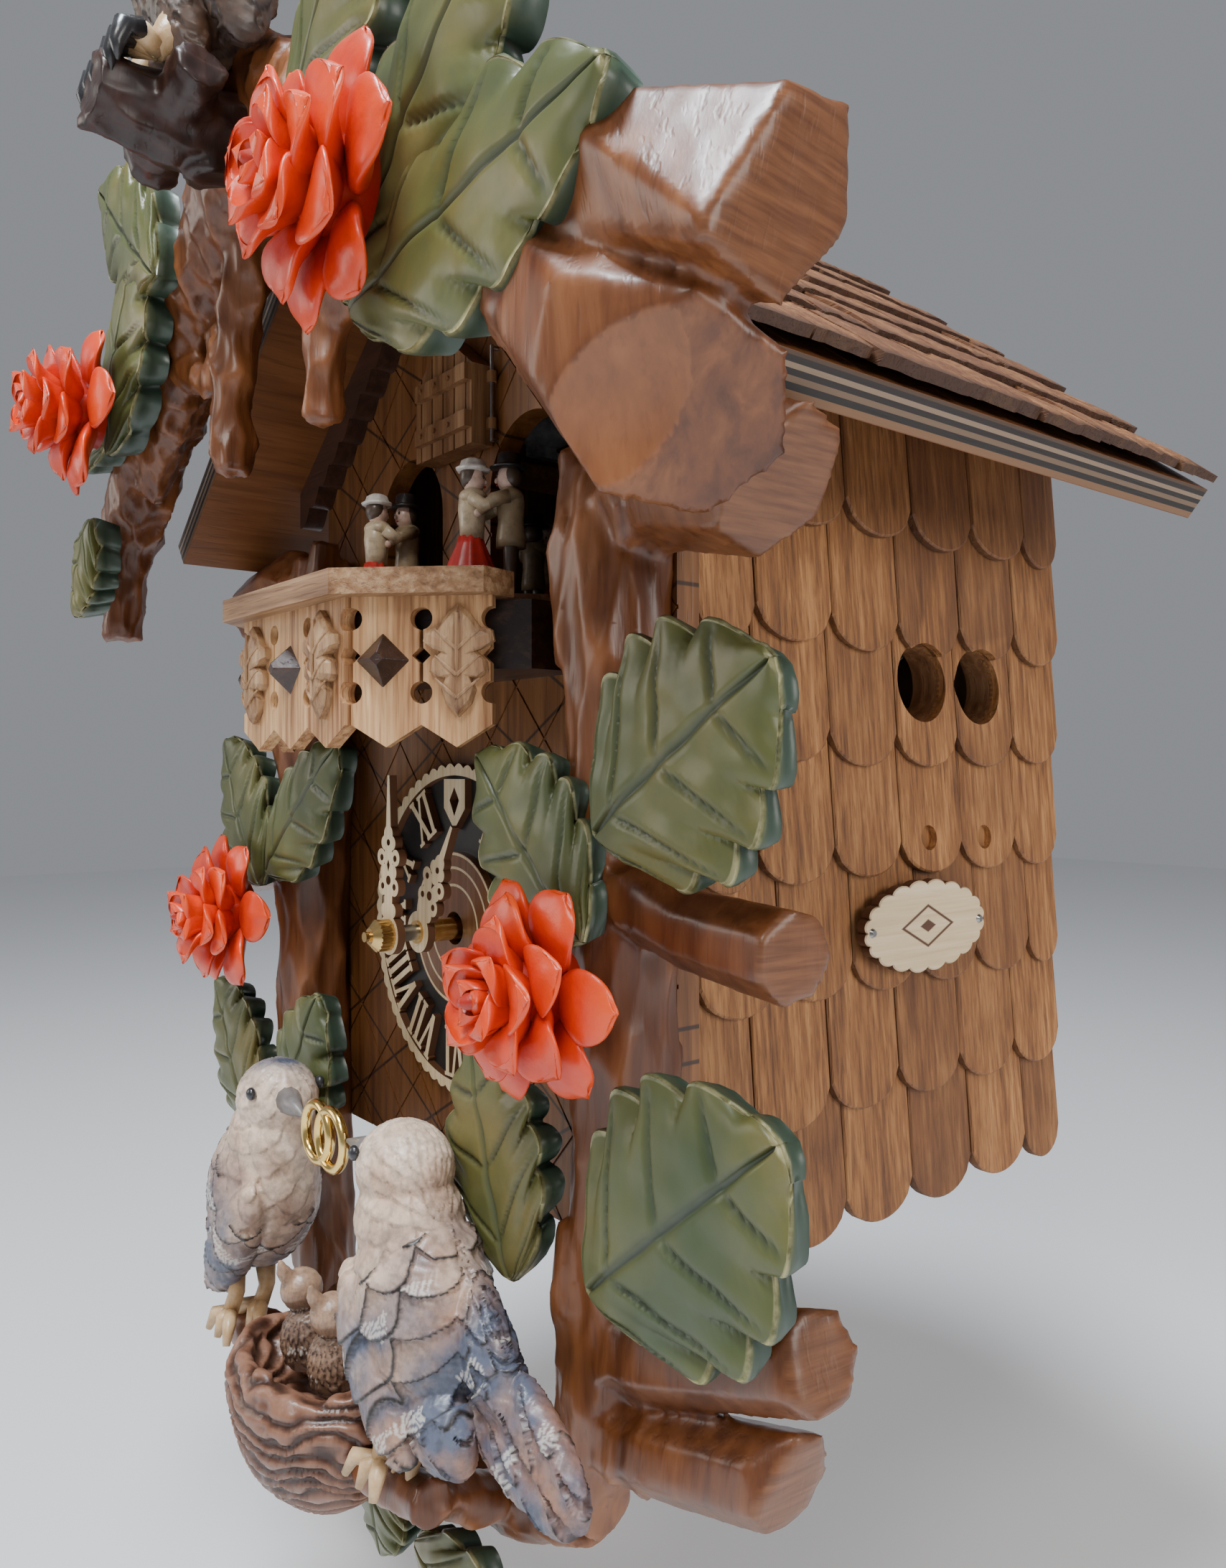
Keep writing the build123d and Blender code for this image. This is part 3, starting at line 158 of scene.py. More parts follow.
def wood(name, dark, mid, light, along="Z", stripes=420.0, rough=0.5, coat=0.0, bump=0.35, shade=0.25,
         tilt=(0, 0, 0)):
    """Sawn or carved wood: long grain stripes, pores and slow tone changes along one axis."""
    n = Nodes(name)
    slow, fast = 14.0, stripes
    scale = {"X": (slow, fast, fast), "Y": (fast, slow, fast), "Z": (fast, fast, slow)}[along]
    grain = n.noise(n.stretch(scale, tilt), 1.0, 5.0, 0.6, 0.3)
    wide = n.noise(n.stretch(tuple(v * 0.16 for v in scale), tilt), 1.0, 2.0, 0.5, 0.4)
    pores = n.noise(n.stretch(tuple(v * (2.6 if v == fast else 3.5) for v in scale), tilt), 1.0, 2.0, 0.5)
    mixed = n.math("ADD", n.math("MULTIPLY", grain, 0.65), n.math("MULTIPLY", wide, 0.35))
    colour = n.ramp(mixed, (0.34, dark), (0.5, mid), (0.66, light))
    patch = n.noise(n.stretch((22, 22, 22)), 1.0, 3.0)
    colour = n.mix(n.math("MULTIPLY", n.grade(patch, 0.38, 0.7), shade), colour, dark)
    pit = n.grade(pores, 0.56, 0.68)
    colour = n.mix(n.math("MULTIPLY", pit, 0.35), colour, dark)
    height = n.math("SUBTRACT", grain, n.math("MULTIPLY", pit, 0.5))
    roughness = n.math("ADD", n.math("MULTIPLY", grain, 0.2), rough - 0.1)
    return n.finish(colour, roughness, height, bump, coat=coat), n


def rebase(n, colour):
    """Give a finished material a new base colour."""
    n.put(n.shader.inputs["Base Color"], colour)


def base_of(n):
    return n.shader.inputs["Base Color"].links[0].from_socket


def assign(obj, material):
    """Give a CAD node or a piece one material."""
    obj.data.materials.clear()
    obj.data.materials.append(material)


# ================= meshes =================

def mesh_piece(name, points, faces, material, body="case", replaces=(), tones=None, smooth=True,
               slot=None):
    """One visible piece from case-frame points; tones are painted values, one per point."""
    mesh = bpy.data.meshes.new(name)
    mesh.from_pydata([tuple(p) for p in placed(points)], [], [tuple(int(i) for i in f) for f in faces])
    mesh.validate()
    piece = bpy.data.objects.new(name, mesh)
    bpy.context.scene.collection.objects.link(piece)
    mesh.materials.append(material)
    if smooth:
        mesh.shade_smooth()
    for key, values in (tones or {}).items():
        attribute = mesh.attributes.new(key, "FLOAT", "POINT")
        attribute.data.foreach_set("value", np.asarray(values, np.float32))
    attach(piece, body)
    if replaces:
        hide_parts(*replaces)
    return piece


def grid_faces(rows, columns, start=0, wrap=False, flip=False):
    """Quads of a rows by columns grid of points."""
    faces = []
    last = columns if wrap else columns - 1
    for i in range(rows - 1):
        for j in range(last):
            a = start + i * columns + j
            b = start + i * columns + (j + 1) % columns
            quad = (a, b, b + columns, a + columns)
            faces.append(quad[::-1] if flip else quad)
    return faces


class Shape:
    """Collects points, faces and painted values of several parts of one piece."""

    def __init__(self):
        self.points, self.faces, self.tones = [], [], {}

    def add(self, points, faces, **tones):
        start = len(self.points)
        self.points += [tuple(p) for p in points]
        self.faces += [tuple(i + start for i in f) for f in faces]
        for key, values in tones.items():
            values = [values] * len(points) if np.isscalar(values) else list(values)
            self.tones.setdefault(key, []).extend(values)

    def piece(self, name, material, **options):
        return mesh_piece(name, self.points, self.faces, material, tones=self.tones, **options)


def modified(piece, kind, **settings):
    """Add a modifier and apply it."""
    modifier = piece.modifiers.new(kind.title(), kind)
    for key, value in settings.items():
        setattr(modifier, key, value)
    bpy.context.view_layer.update()
    graph = bpy.context.evaluated_depsgraph_get()
    mesh = bpy.data.meshes.new_from_object(piece.evaluated_get(graph))
    piece.modifiers.clear()
    old = piece.data
    piece.data = mesh
    bpy.data.meshes.remove(old)
    return piece


def extruded(outline, y_front, y_back, chamfer=0.0):
    """Closed solid from an outline in X and Z, with an optional chamfered front edge."""
    outline = np.asarray(outline, float)
    count = len(outline)
    centre = outline.mean(0)
    rings = []
    if chamfer:
        towards = centre - outline
        towards /= np.linalg.norm(towards, axis=1)[:, None]
        rings.append((outline + towards * chamfer, y_front))
        rings.append((outline, y_front + chamfer))
    else:
        rings.append((outline, y_front))
    rings.append((outline, y_back))
    points, faces = [], []
    for flat, y in rings:
        points += [(x, y, z) for x, z in flat]
    faces += grid_faces(len(rings), count, wrap=True)
    faces.append(tuple(range(count))[::-1])
    last = (len(rings) - 1) * count
    faces.append(tuple(range(last, last + count)))
    return points, faces


# ================= wood surfaces of the case =================

def shingle_material(name, dark, mid, light, along="Z"):
    """Shingle wood whose tone changes from one shingle to the next, with painted shade on the shingles' sides and
    undersides.
    """
    material, n = wood(name, dark, mid, light, along, stripes=520.0, rough=0.62, bump=0.6, shade=0.35)
    each = n.tone("each")
    edge = n.tone("edge")
    base = n.shader.inputs["Base Color"].links[0].from_socket
    darker = n.mix(n.math("MULTIPLY", each, 0.55), base, dark)
    # Painted shade: where the edge value is high (sides toward the back, undersides and lower lips) the wood is
    # painted much darker.
    edge_tinted = n.mix(n.math("MULTIPLY", edge, 0.8), darker, tuple(v * 0.35 for v in dark))
    n.put(n.shader.inputs["Base Color"], edge_tinted)
    return material


def shingle(shape, rng, low, high, tip, length, thick, side, face_x):
    """One side shingle: a tilted slab with a rounded lower end, seen from outside."""
    width = high - low
    radius = width / 2
    steps = 12
    depth = min(13.0, radius)
    edge = []
    for k in range(steps + 1):
        u = -1 + 2 * k / steps
        edge.append((low + radius * (1 + u), tip + depth * (1 - math.sqrt(max(0.0, 1 - u * u * 0.98)))))
    outline = edge + [(high, tip + length), (low, tip + length)]
    lift = rng.uniform(-0.5, 0.5)
    each = rng.uniform(0, 1) ** 1.5
    points, edges = [], []

    def at(y, z, out):
        slope = (z - tip) / length
        return (side * (face_x + lift * (1 - slope) + out - 4.4 * slope), y, z)

    inset = 0.7
    centre_y = (low + high) / 2
    # Painted shade: the edge value runs from 0 on the outer face to 1 on the back, so the sides darken toward the
    # back.
    for y, z in outline:
        near = 1 if z < tip + length - 1 else 0
        points.append(at(y + (inset if y < centre_y else -inset), z + inset * near, 0))
        edges.append(0.0)
    for y, z in outline:
        points.append(at(y, z, -0.7))
        edges.append(0.5)
    for y, z in outline:
        points.append(at(y, z, -thick))
        edges.append(1.0)
    count = len(outline)
    faces = grid_faces(3, count, wrap=True, flip=side < 0)
    faces.append(tuple(range(count)) if side < 0 else tuple(range(count))[::-1])
    back = tuple(range(2 * count, 3 * count))
    faces.append(back[::-1] if side < 0 else back)
    shape.add(points, faces, each=each, edge=edges)


def outward(piece):
    """Turns every face of the piece's closed parts to face out."""
    skin = bmesh.new()
    skin.from_mesh(piece.data)
    bmesh.ops.recalc_face_normals(skin, faces=skin.faces[:])
    skin.to_mesh(piece.data)
    skin.free()


def roof_height(x):
    return RIDGE_Z - abs(x) * math.tan(PITCH)


def bored(single, cutters):
    """One shingle with the round holes cut through it, as points, faces and painted values."""
    mesh = bpy.data.meshes.new("bored")
    mesh.from_pydata([tuple(p) for p in placed(single.points)], [], single.faces)
    for key, values in single.tones.items():
        mesh.attributes.new(key, "FLOAT", "POINT").data.foreach_set("value", np.asarray(values, np.float32))
    part = bpy.data.objects.new("bored", mesh)
    bpy.context.scene.collection.objects.link(part)
    outward(part)
    for cutter in cutters:
        modified(part, "BOOLEAN", operation="DIFFERENCE", object=cutter, solver="EXACT")
    points = [np.array(v.co) * 1000 - np.array([0.0, -CASE_DEPTH, -HANGER_Z]) for v in part.data.vertices]
    faces = [tuple(p.vertices) for p in part.data.polygons]
    tones = {key: [d.value for d in part.data.attributes[key].data] for key in single.tones}
    bpy.data.objects.remove(part)
    return points, faces, tones


def side_shingles(material):
    """Seven overlapping rows on each side, pierced by the two sound holes."""
    rng = random.Random(4)
    shape = Shape()
    for side in (1, -1):
        cutters = []
        for y, z, radius in SIDE_HOLES:
            deep = 40 if radius > 10 else 9
            bpy.ops.mesh.primitive_cylinder_add(
                vertices=48, radius=radius / 1000, depth=deep / 1000, rotation=(0, math.pi / 2, 0),
                location=tuple(placed([(side * (CASE_HALF + 6), y, z)])[0]))
            cutters.append((bpy.context.object, y, z, radius))
        for row, offset in enumerate(SHINGLE_OFFSETS):
            tip = row * SHINGLE_STEP
            low = offset - SHINGLE_WIDTH
            while low < CASE_DEPTH - 2:
                high = low + SHINGLE_WIDTH + rng.uniform(-0.4, 0.4)
                left, right = max(low + 0.35, 0.4), min(high - 0.35, CASE_DEPTH - 1.4)
                length = 54.0 if row < 6 else roof_height(CASE_HALF + 6) - tip - 1
                if right - left > 3:
                    shift = rng.uniform(-0.9, 0.6)
                    single = Shape()
                    shingle(single, rng, left, right, tip + shift, length, 4.2, side, CASE_HALF + 5.2)
                    top = tip + length
                    hits = [cutter for cutter, y, z, radius in cutters
                            if left - radius < y < right + radius and tip - radius < z + 1 < top + radius]
                    points, faces, tones = (bored(single, hits) if hits
                                            else (single.points, single.faces, single.tones))
                    shape.add(points, faces, **tones)
                low = high
        for cutter, y, z, radius in cutters:
            bpy.data.objects.remove(cutter)
    return shape.piece("shingled_sides", material, replaces=("side_shingles",), smooth=False,
                       slot="shingle_wood")


def roof_shingles(material):
    """Two visible layers of split shingles with ragged lower edges."""
    rng = random.Random(9)
    shape = Shape()
    ux, uz = math.cos(PITCH), -math.sin(PITCH)
    nx, nz = math.sin(PITCH), math.cos(PITCH)
    top_z = RIDGE_Z + ROOF_BOARD / nz
    slope = (EAVE_X + ROOF_BOARD * nx) / ux
    courses = 6
    step = slope / courses
    for side in (1, -1):
        for course in range(courses):
            y = ROOF_FRONT + 7
            while y < CASE_DEPTH - 2:
                wide = rng.uniform(24, 44)
                end = min(y + wide, CASE_DEPTH - 0.5)
                if CASE_DEPTH - end < 10:
                    end = CASE_DEPTH - 0.5
                start = max(course * step - 10, 0.5)
                last = course == courses - 1
                low = (course + 1) * step + rng.uniform(-4 if last else -5, 1.5)
                count = 9
                lip = [low + rng.uniform(-1.6, 1.6) for _ in range(count)]
                base = 3.4 if last else 3.6
                thick = rng.uniform(3.0, 4.4)
                raised = rng.uniform(0, 0.8)
                each = rng.uniform(0, 1)
                rows = 7
                points, edges = [], []
                for layer in (1, 0):
                    for i in range(rows):
                        for j in range(count):
                            along = start + (lip[j] - start) * i / (rows - 1)
                            lift = (0.6 if course else 0.3) + (base + raised) * i / (rows - 1)
                            if layer:
                                ridge = noise.noise(Vector((along * 0.03, j * 1.3 + y, course + side)))
                                lift += thick + 0.9 * ridge - (1.0 if i == rows - 1 else 0)
                            else:
                                lift = max(lift - 1.0, 0.1)
                            yy = y + 0.4 + (end - y - 0.8) * j / (count - 1)
                            lift = min(lift, 6.9)
                            x, z = ux * along + nx * lift, uz * along + nz * lift
                            points.append((side * x, yy, top_z + z))
                            # Painted shade: the underside and the lower lip of each shingle get edge 1 and are
                            # painted darker.
                            edges.append(0.0 if layer and i < rows - 1 else 1.0)
                faces = grid_faces(rows, count, flip=side < 0)
                faces += grid_faces(rows, count, start=rows * count, flip=side > 0)
                border = [(i, 0) for i in range(rows)] + [(rows - 1, j) for j in range(1, count)]
                border += [(i, count - 1) for i in range(rows - 2, -1, -1)]
                border += [(0, j) for j in range(count - 2, 0, -1)]
                loop = [i * count + j for i, j in border]
                for k, a in enumerate(loop):
                    b = loop[(k + 1) % len(loop)]
                    quad = (a, b, b + rows * count, a + rows * count)
                    faces.append(quad if side > 0 else quad[::-1])
                shape.add(points, faces, each=each, edge=edges)
                y = end
    return shape.piece("split_roof_shingles", material, replaces=("roof_shingles",), smooth=False,
                       slot="shingle_wood")


# ================= leaves =================

def leaf_material():
    """Green painted leaf: olive face, dark veins and sides, paint worn off the edges."""
    n = Nodes("green_leaf")
    patch = n.noise(n.stretch((16, 16, 16)), 1.0, 3.0, 0.6)
    fine = n.noise(n.stretch((160, 160, 160)), 1.0, 4.0, 0.6)
    face = n.ramp(patch, (0.3, (0.045, 0.064, 0.02)), (0.52, (0.1, 0.105, 0.028)),
                  (0.72, (0.19, 0.15, 0.045)))
    face = n.mix(n.math("MULTIPLY", n.grade(fine, 0.45, 0.75), 0.3), face, (0.05, 0.075, 0.035))
    face = n.mix(n.math("MULTIPLY", n.tone("vein"), 0.85), face, (0.022, 0.038, 0.022))
    sides = n.mix(patch, (0.018, 0.04, 0.03), (0.045, 0.07, 0.04))
    colour = n.mix(n.tone("flank"), face, sides)
    edge_tinted = n.math("MULTIPLY", n.tone("rim"), n.grade(fine, 0.35, 0.6))
    colour = n.mix(edge_tinted, colour, (0.5, 0.46, 0.24))
    rough = n.math("ADD", n.math("MULTIPLY", fine, 0.22), 0.33)
    return n.finish(colour, rough, fine, 0.22, 0.0005, coat=0.12)


def leaf_parts(shape, base, tip, width, y_front, thick=13.0, lobes=4, bend=0.0, swell=4.0, drop=0.0,
               seed=1):
    """One carved leaf: scalloped outline, hollowed lobes between veins, thick dark sides."""
    rng = random.Random(seed)
    base, tip = np.array(base, float), np.array(tip, float)
    length = np.linalg.norm(tip - base)
    along = (tip - base) / length
    across = np.array([-along[1], along[0]])
    rows, columns = 68, 57
    phase = rng.uniform(-0.06, 0.06)
    points, vein, flank, rim = [], [], [], []
    for i in range(rows):
        u = i / (rows - 1)
        for j in range(columns):
            v = -1 + 2 * j / (columns - 1)
            side = abs(v)
            shifted = u - 0.46 * side ** 1.2 * (1 - u) + phase * v
            turn = shifted * (lobes - 0.65)
            saw = turn - math.floor(turn)
            scallop = 1 - 0.4 * (1 - math.sin(math.pi * min(1, max(0, saw))) ** 0.5)
            full = math.sin(math.pi * min(1.0, u ** 0.8)) ** 0.62 if 0 < u < 1 else 0.0
            half = width / 2 * full * (1 - (1 - scallop) * side ** 3)
            lengthwise = u * length + 0.16 * width * side ** 1.5 * full * (1 - u) * 1.0
            sweep = bend * math.sin(math.pi * u) * length
            flat = base + along * lengthwise + across * (half * v + sweep)
            groove = math.exp(-((saw - 0.5) / 0.042) ** 2) * min(1, side * 6) * (1 - side ** 4)
            fine = math.exp(-((saw - 0.82) / 0.03) ** 2) * max(0, side - 0.35) * (1 - side ** 4)
            midrib = math.exp(-(v * (0.35 + full) / 0.04) ** 2)
            notch = (1 - math.sin(math.pi * saw)) ** 2 * side
            height = swell * (1 - side ** 2.4) * (0.35 + 0.65 * full)
            height += 0.9 * math.sin(math.pi * saw) * side * full
            height -= 1.8 * groove + 0.9 * fine + 2.0 * midrib + 2.6 * notch * side ** 3
            height -= drop * (u ** 1.6) * 10
            wobble = noise.noise(Vector((flat[0] * 0.09, flat[1] * 0.09, seed * 3.1)))
            height += 1.2 * wobble
            points.append((flat[0], y_front + 3.5 - height, flat[1]))
            vein.append(min(1.0, 0.95 * groove + 0.7 * fine + 1.0 * midrib))
            flank.append(0.0)
            rim.append(0.0)
    border = [(i, 0) for i in range(rows)] + [(rows - 1, j) for j in range(1, columns)]
    border += [(i, columns - 1) for i in range(rows - 2, -1, -1)]
    border += [(0, j) for j in range(columns - 2, 0, -1)]
    loop = [i * columns + j for i, j in border]
    for k in loop:
        rim[k] = 1.0
        vein[k] *= 0.3
    centre = base + along * length * 0.5
    faces = grid_faces(rows, columns)
    ring = loop
    for depth, spread, dark in ((1.2, 0.6, 0.7), (thick * 0.5, 0.2, 1.0), (thick, -1.8, 1.0)):
        start = len(points)
        for k, first in enumerate(loop):
            x, y, z = points[first]
            out = np.array([x, z]) - centre
            out /= max(1e-6, np.linalg.norm(out))
            chip = 0.5 * noise.noise(Vector((x * 0.25, z * 0.25, depth)))
            far = spread + chip
            points.append((x + out[0] * far, max(y + 1, y_front + depth), z + out[1] * far))
            vein.append(0.0)
            flank.append(dark)
            rim.append(0.0)
        fresh = list(range(start, len(points)))
        for k in range(len(loop)):
            b = (k + 1) % len(loop)
            faces.append((ring[k], fresh[k], fresh[b], ring[b]))
        ring = fresh
    faces.append(tuple(ring))
    shape.add(points, faces, vein=vein, flank=flank, rim=rim)


# ================= roses =================

def rose_material():
    """Orange-red brushed paint with painted shade toward the petal roots and on the bud, a painted highlight along
    the petal rims, and a soft lacquer shine.
    """
    n = Nodes("rose_paint")
    patch = n.noise(n.stretch((45, 45, 45)), 1.0, 4.0, 0.65)
    brush = n.noise(n.stretch((240, 240, 240)), 1.0, 4.0, 0.7)
    colour = n.ramp(patch, (0.3, (0.5, 0.016, 0.001)), (0.5, (0.7, 0.036, 0.002)), (0.72, (0.8, 0.07, 0.004)))
    # Painted shade: deep red toward the petal roots and on the bud, deep in the flower.
    colour = n.mix(n.math("MULTIPLY", n.tone("fold"), 0.8), colour, (0.26, 0.008, 0.008))
    # Painted highlight: lighter orange along the petal rims.
    colour = n.mix(n.math("MULTIPLY", n.tone("lip"), 0.3), colour, (0.85, 0.12, 0.012))
    rough = n.math("ADD", n.math("MULTIPLY", brush, 0.3), 0.24)
    return n.finish(colour, rough, brush, 0.35, 0.0006, coat=0.25)


def petal(shape, centre, turn, tilt, root, rise, length, width, thick, cup, curl, seed):
    """One chunky petal around the flower's axis, which points along -Y; tilt 0 stands, 90 lies flat."""
    rows, columns = 19, 28
    radial = np.array([math.cos(turn), 0, math.sin(turn)])
    ahead = np.array([0, -1.0, 0])
    across = np.cross(ahead, radial)
    t = math.radians(tilt)
    along = math.cos(t) * ahead + math.sin(t) * radial
    inward = math.sin(t) * ahead - math.cos(t) * radial
    start = np.array(centre, float) + radial * root + ahead * rise
    points, fold, lip = [], [], []
    for i in range(rows):
        v = math.pi * i / (rows - 1)
        share = 0.5 - 0.5 * math.cos(v)
        wide = width * max(0.0, math.sin(v)) ** 0.7 * (0.62 + 0.5 * share)
        deep = thick * max(0.0, math.sin(v)) ** 0.8 * (1.05 - 0.35 * share)
        for j in range(columns):
            u = 2 * math.pi * j / columns
            s, d = math.cos(u), math.sin(u)
            wave = 0.6 * noise.noise(Vector((s * 1.7 + seed * 3.3, share * 2.1, d + seed)))
            offset = deep * d + cup * width * (s * s) * share ** 0.4
            offset -= curl * max(0.0, share - 0.55) ** 2 * 4.9
            point = start + along * (length * share * (1 + 0.07 * (1 - abs(s)) * share))
            point = point + across * (wide * s) + inward * (offset + wave)
            points.append(tuple(point))
            # Painted shade near the petal's root (fold) and a painted highlight along its rim (lip).
            fold.append(max(0.0, 0.95 - 1.7 * share))
            lip.append(max(0.0, (share - 0.72) * 3.2))
    shape.add(points, grid_faces(rows, columns, wrap=True), fold=fold, lip=lip)


def rose(name, centre, radius, depth, material, replaces=(), seed=1, mirror=False):
    """Carved rose: splayed outer petals, cupped inner ones and a tight bud."""
    rng = random.Random(seed)
    shape = Shape()
    sign = -1 if mirror else 1
    # count, tilt, root radius, root height, length, half width, thickness, cup, curl, first turn
    rings = [(6, 74, 0.20, 0.14, 0.78, 0.36, 3.6, 0.10, 5.0, 0.0),
             (5, 55, 0.16, 0.26, 0.66, 0.35, 3.4, 0.22, 6.0, 0.5),
             (5, 34, 0.15, 0.36, 0.58, 0.31, 3.1, 0.36, 6.5, 0.2),
             (4, 16, 0.15, 0.44, 0.50, 0.26, 2.7, 0.55, 5.0, 0.9),
             (3, 4, 0.10, 0.50, 0.42, 0.17, 2.2, 0.75, 2.5, 0.3)]
    for count, tilt, root, rise, length, width, thick, cup, curl, start in rings:
        for k in range(count):
            turn = sign * (start + 2 * math.pi * (k + rng.uniform(-0.1, 0.1)) / count)
            size = rng.uniform(0.9, 1.05)
            petal(shape, centre, turn, tilt + rng.uniform(-7, 7), radius * root, depth * rise,
                  radius * length * size,
                  radius * width * size, thick, cup, curl, rng.uniform(0, 9))
    bud = [(centre[0], centre[1] - depth * low, centre[2]) for low in (0.05, 0.5, 0.8, 0.93)]
    points, faces = tube_part(bud, [radius * 0.4, radius * 0.3, radius * 0.1, radius * 0.03], 20)
    # The bud is painted in shade.
    shape.add(points, faces, fold=0.8, lip=0.0)
    return shape.piece(name, material, replaces=replaces, slot="red_painted_wood")


# ================= fused carved forms =================

def tube_part(points, radii, sides=14):
    """Closed tube along a few points, one radius (or pair of radii) at each."""
    points = [Vector(p) for p in points]
    verts, faces = [], []
    normal = None
    for k, point in enumerate(points):
        ahead = points[min(k + 1, len(points) - 1)] - points[max(k - 1, 0)]
        ahead.normalize()
        if normal is None:
            normal = ahead.orthogonal().normalized()
        normal = (normal - ahead * normal.dot(ahead)).normalized()
        side = ahead.cross(normal)
        for j in range(sides):
            angle = 2 * math.pi * j / sides
            verts.append(tuple(point + (normal * math.cos(angle) + side * math.sin(angle)) * radii[k]))
    faces = grid_faces(len(points), sides, wrap=True)
    faces.append(tuple(range(sides))[::-1])
    last = (len(points) - 1) * sides
    faces.append(tuple(range(last, last + sides)))
    return verts, faces


def egg_part(centre, half, turn=(0, 0, 0), rings=14, sides=20):
    """Ellipsoid turned by degrees about X, Y and Z."""
    from mathutils import Euler
    spin = Euler([math.radians(a) for a in turn]).to_matrix()
    verts = []
    for i in range(rings + 1):
        v = math.pi * i / rings
        for j in range(sides):
            u = 2 * math.pi * j / sides
            local = Vector((half[0] * math.sin(v) * math.cos(u), half[1] * math.sin(v) * math.sin(u),
                            half[2] * math.cos(v)))
            verts.append(tuple(Vector(centre) + spin @ local))
    return verts, grid_faces(rings + 1, sides, wrap=True)


def fused(name, parts, material, voxel=2.0, smooth=4, carve=None, **options):
    """Joins simple closed parts into one carved body, then lets carve() move and tint its points.

    carve(points, normals) returns new points and a dict of painted values, all in case millimetres."""
    shape = Shape()
    for points, faces in parts:
        shape.add(points, faces)
    piece = shape.piece(name, material, **options)
    bpy.context.view_layer.objects.active = piece
    modified(piece, "REMESH", mode="VOXEL", voxel_size=voxel / 1000)
    if smooth:
        modified(piece, "SMOOTH", factor=0.5, iterations=smooth)
    mesh = piece.data
    mesh.shade_smooth()
    count = len(mesh.vertices)
    flat = np.zeros(count * 3)
    mesh.vertices.foreach_get("co", flat)
    points = flat.reshape(-1, 3) * 1000 - np.array([0.0, -CASE_DEPTH, -HANGER_Z])
    normals = np.zeros(count * 3)
    mesh.vertices.foreach_get("normal", normals)
    normals = normals.reshape(-1, 3)
    if carve:
        points, tones = carve(points, normals)
        mesh.vertices.foreach_set("co", placed(points).ravel())
        mesh.update()
        for key, values in tones.items():
            attribute = mesh.attributes.new(key, "FLOAT", "POINT")
            attribute.data.foreach_set("value", np.asarray(values, np.float32))
    return piece


def gouged(points, normals, size=(7, 7, 20), depth=1.2, rough=0.8, seed=0.0):
    """Scalloped knife cuts, longer along Z, plus a slow unevenness."""
    moved = np.empty_like(points)
    cut = np.zeros(len(points))
    for k, (p, nrm) in enumerate(zip(points, normals)):
        cell = Vector((p[0] / size[0] + seed, p[1] / size[1], p[2] / size[2]))
        near = noise.voronoi(cell)[0]
        hollow = min(1.0, near[0]) ** 2
        slow = noise.noise(Vector((p[0] / 26, p[1] / 26, p[2] / 26 + seed)))
        cut[k] = hollow
        moved[k] = p + nrm * (depth * (hollow - 0.35) * 1.6 + rough * slow)
    return moved, cut


def linden(name, dark, mid, light):
    """Stained and lacquered carved linden: orange-brown, paler on ridges and on sawn ends."""
    material, n = wood(name, dark, mid, light, "Z", stripes=150.0, rough=0.4, coat=0.16, bump=0.2,
                       shade=0.5)
    ridge = n.math("MULTIPLY", n.grade(n.tone("cut"), 0.35, 0.95), 0.4)
    colour = n.mix(ridge, base_of(n), tuple(min(1, v * 1.7) for v in light))
    saw = n.noise(n.stretch((40, 40, 700)), 1.0, 3.0, 0.6)
    end = n.mix(n.grade(saw, 0.35, 0.65), tuple(v * 0.7 for v in mid), tuple(v * 0.75 for v in light))
    colour = n.mix(n.tone("sawn"), colour, end)
    colour = n.mix(n.math("MULTIPLY", n.tone("shadow"), 0.75), colour, tuple(v * 0.3 for v in dark))
    rebase(n, colour)
    return material


def cut_part(part, planes):
    """A closed part cut by planes given as point and outward normal, each cut closed again."""
    mesh = bmesh.new()
    verts = [mesh.verts.new(p) for p in part[0]]
    for face in part[1]:
        mesh.faces.new([verts[i] for i in face])
    for point, normal in planes:
        geometry = mesh.verts[:] + mesh.edges[:] + mesh.faces[:]
        bmesh.ops.bisect_plane(mesh, geom=geometry, plane_co=point, plane_no=normal, clear_outer=True)
        bmesh.ops.holes_fill(mesh, edges=[e for e in mesh.edges if e.is_boundary])
    mesh.verts.index_update()
    points = [tuple(v.co) for v in mesh.verts]
    faces = [tuple(v.index for v in f.verts) for f in mesh.faces]
    mesh.free()
    return points, faces


def near_planes(points, planes, reach):
    """1 where a point lies on one of the planes and within reach of that plane's point."""
    tone = np.zeros(len(points))
    for point, normal in planes:
        offset = points - np.array(point, float)
        away = offset @ (np.array(normal, float) / np.linalg.norm(normal))
        close = np.linalg.norm(offset, axis=1) < reach
        tone = np.maximum(tone, np.where(close & (np.abs(away) < 1.5), 1.0, 0.0))
    return tone


# ================= trunks and branches =================

TRUNK_CUTS = (((178, -22, 110), (1, -0.1, -0.05)), ((186, -22, 13), (0.95, -0.1, 0.3)),
              ((177, -22, -20), (1, -0.1, -0.25)), ((170, -19, 233), (0.82, 0, -0.58)))


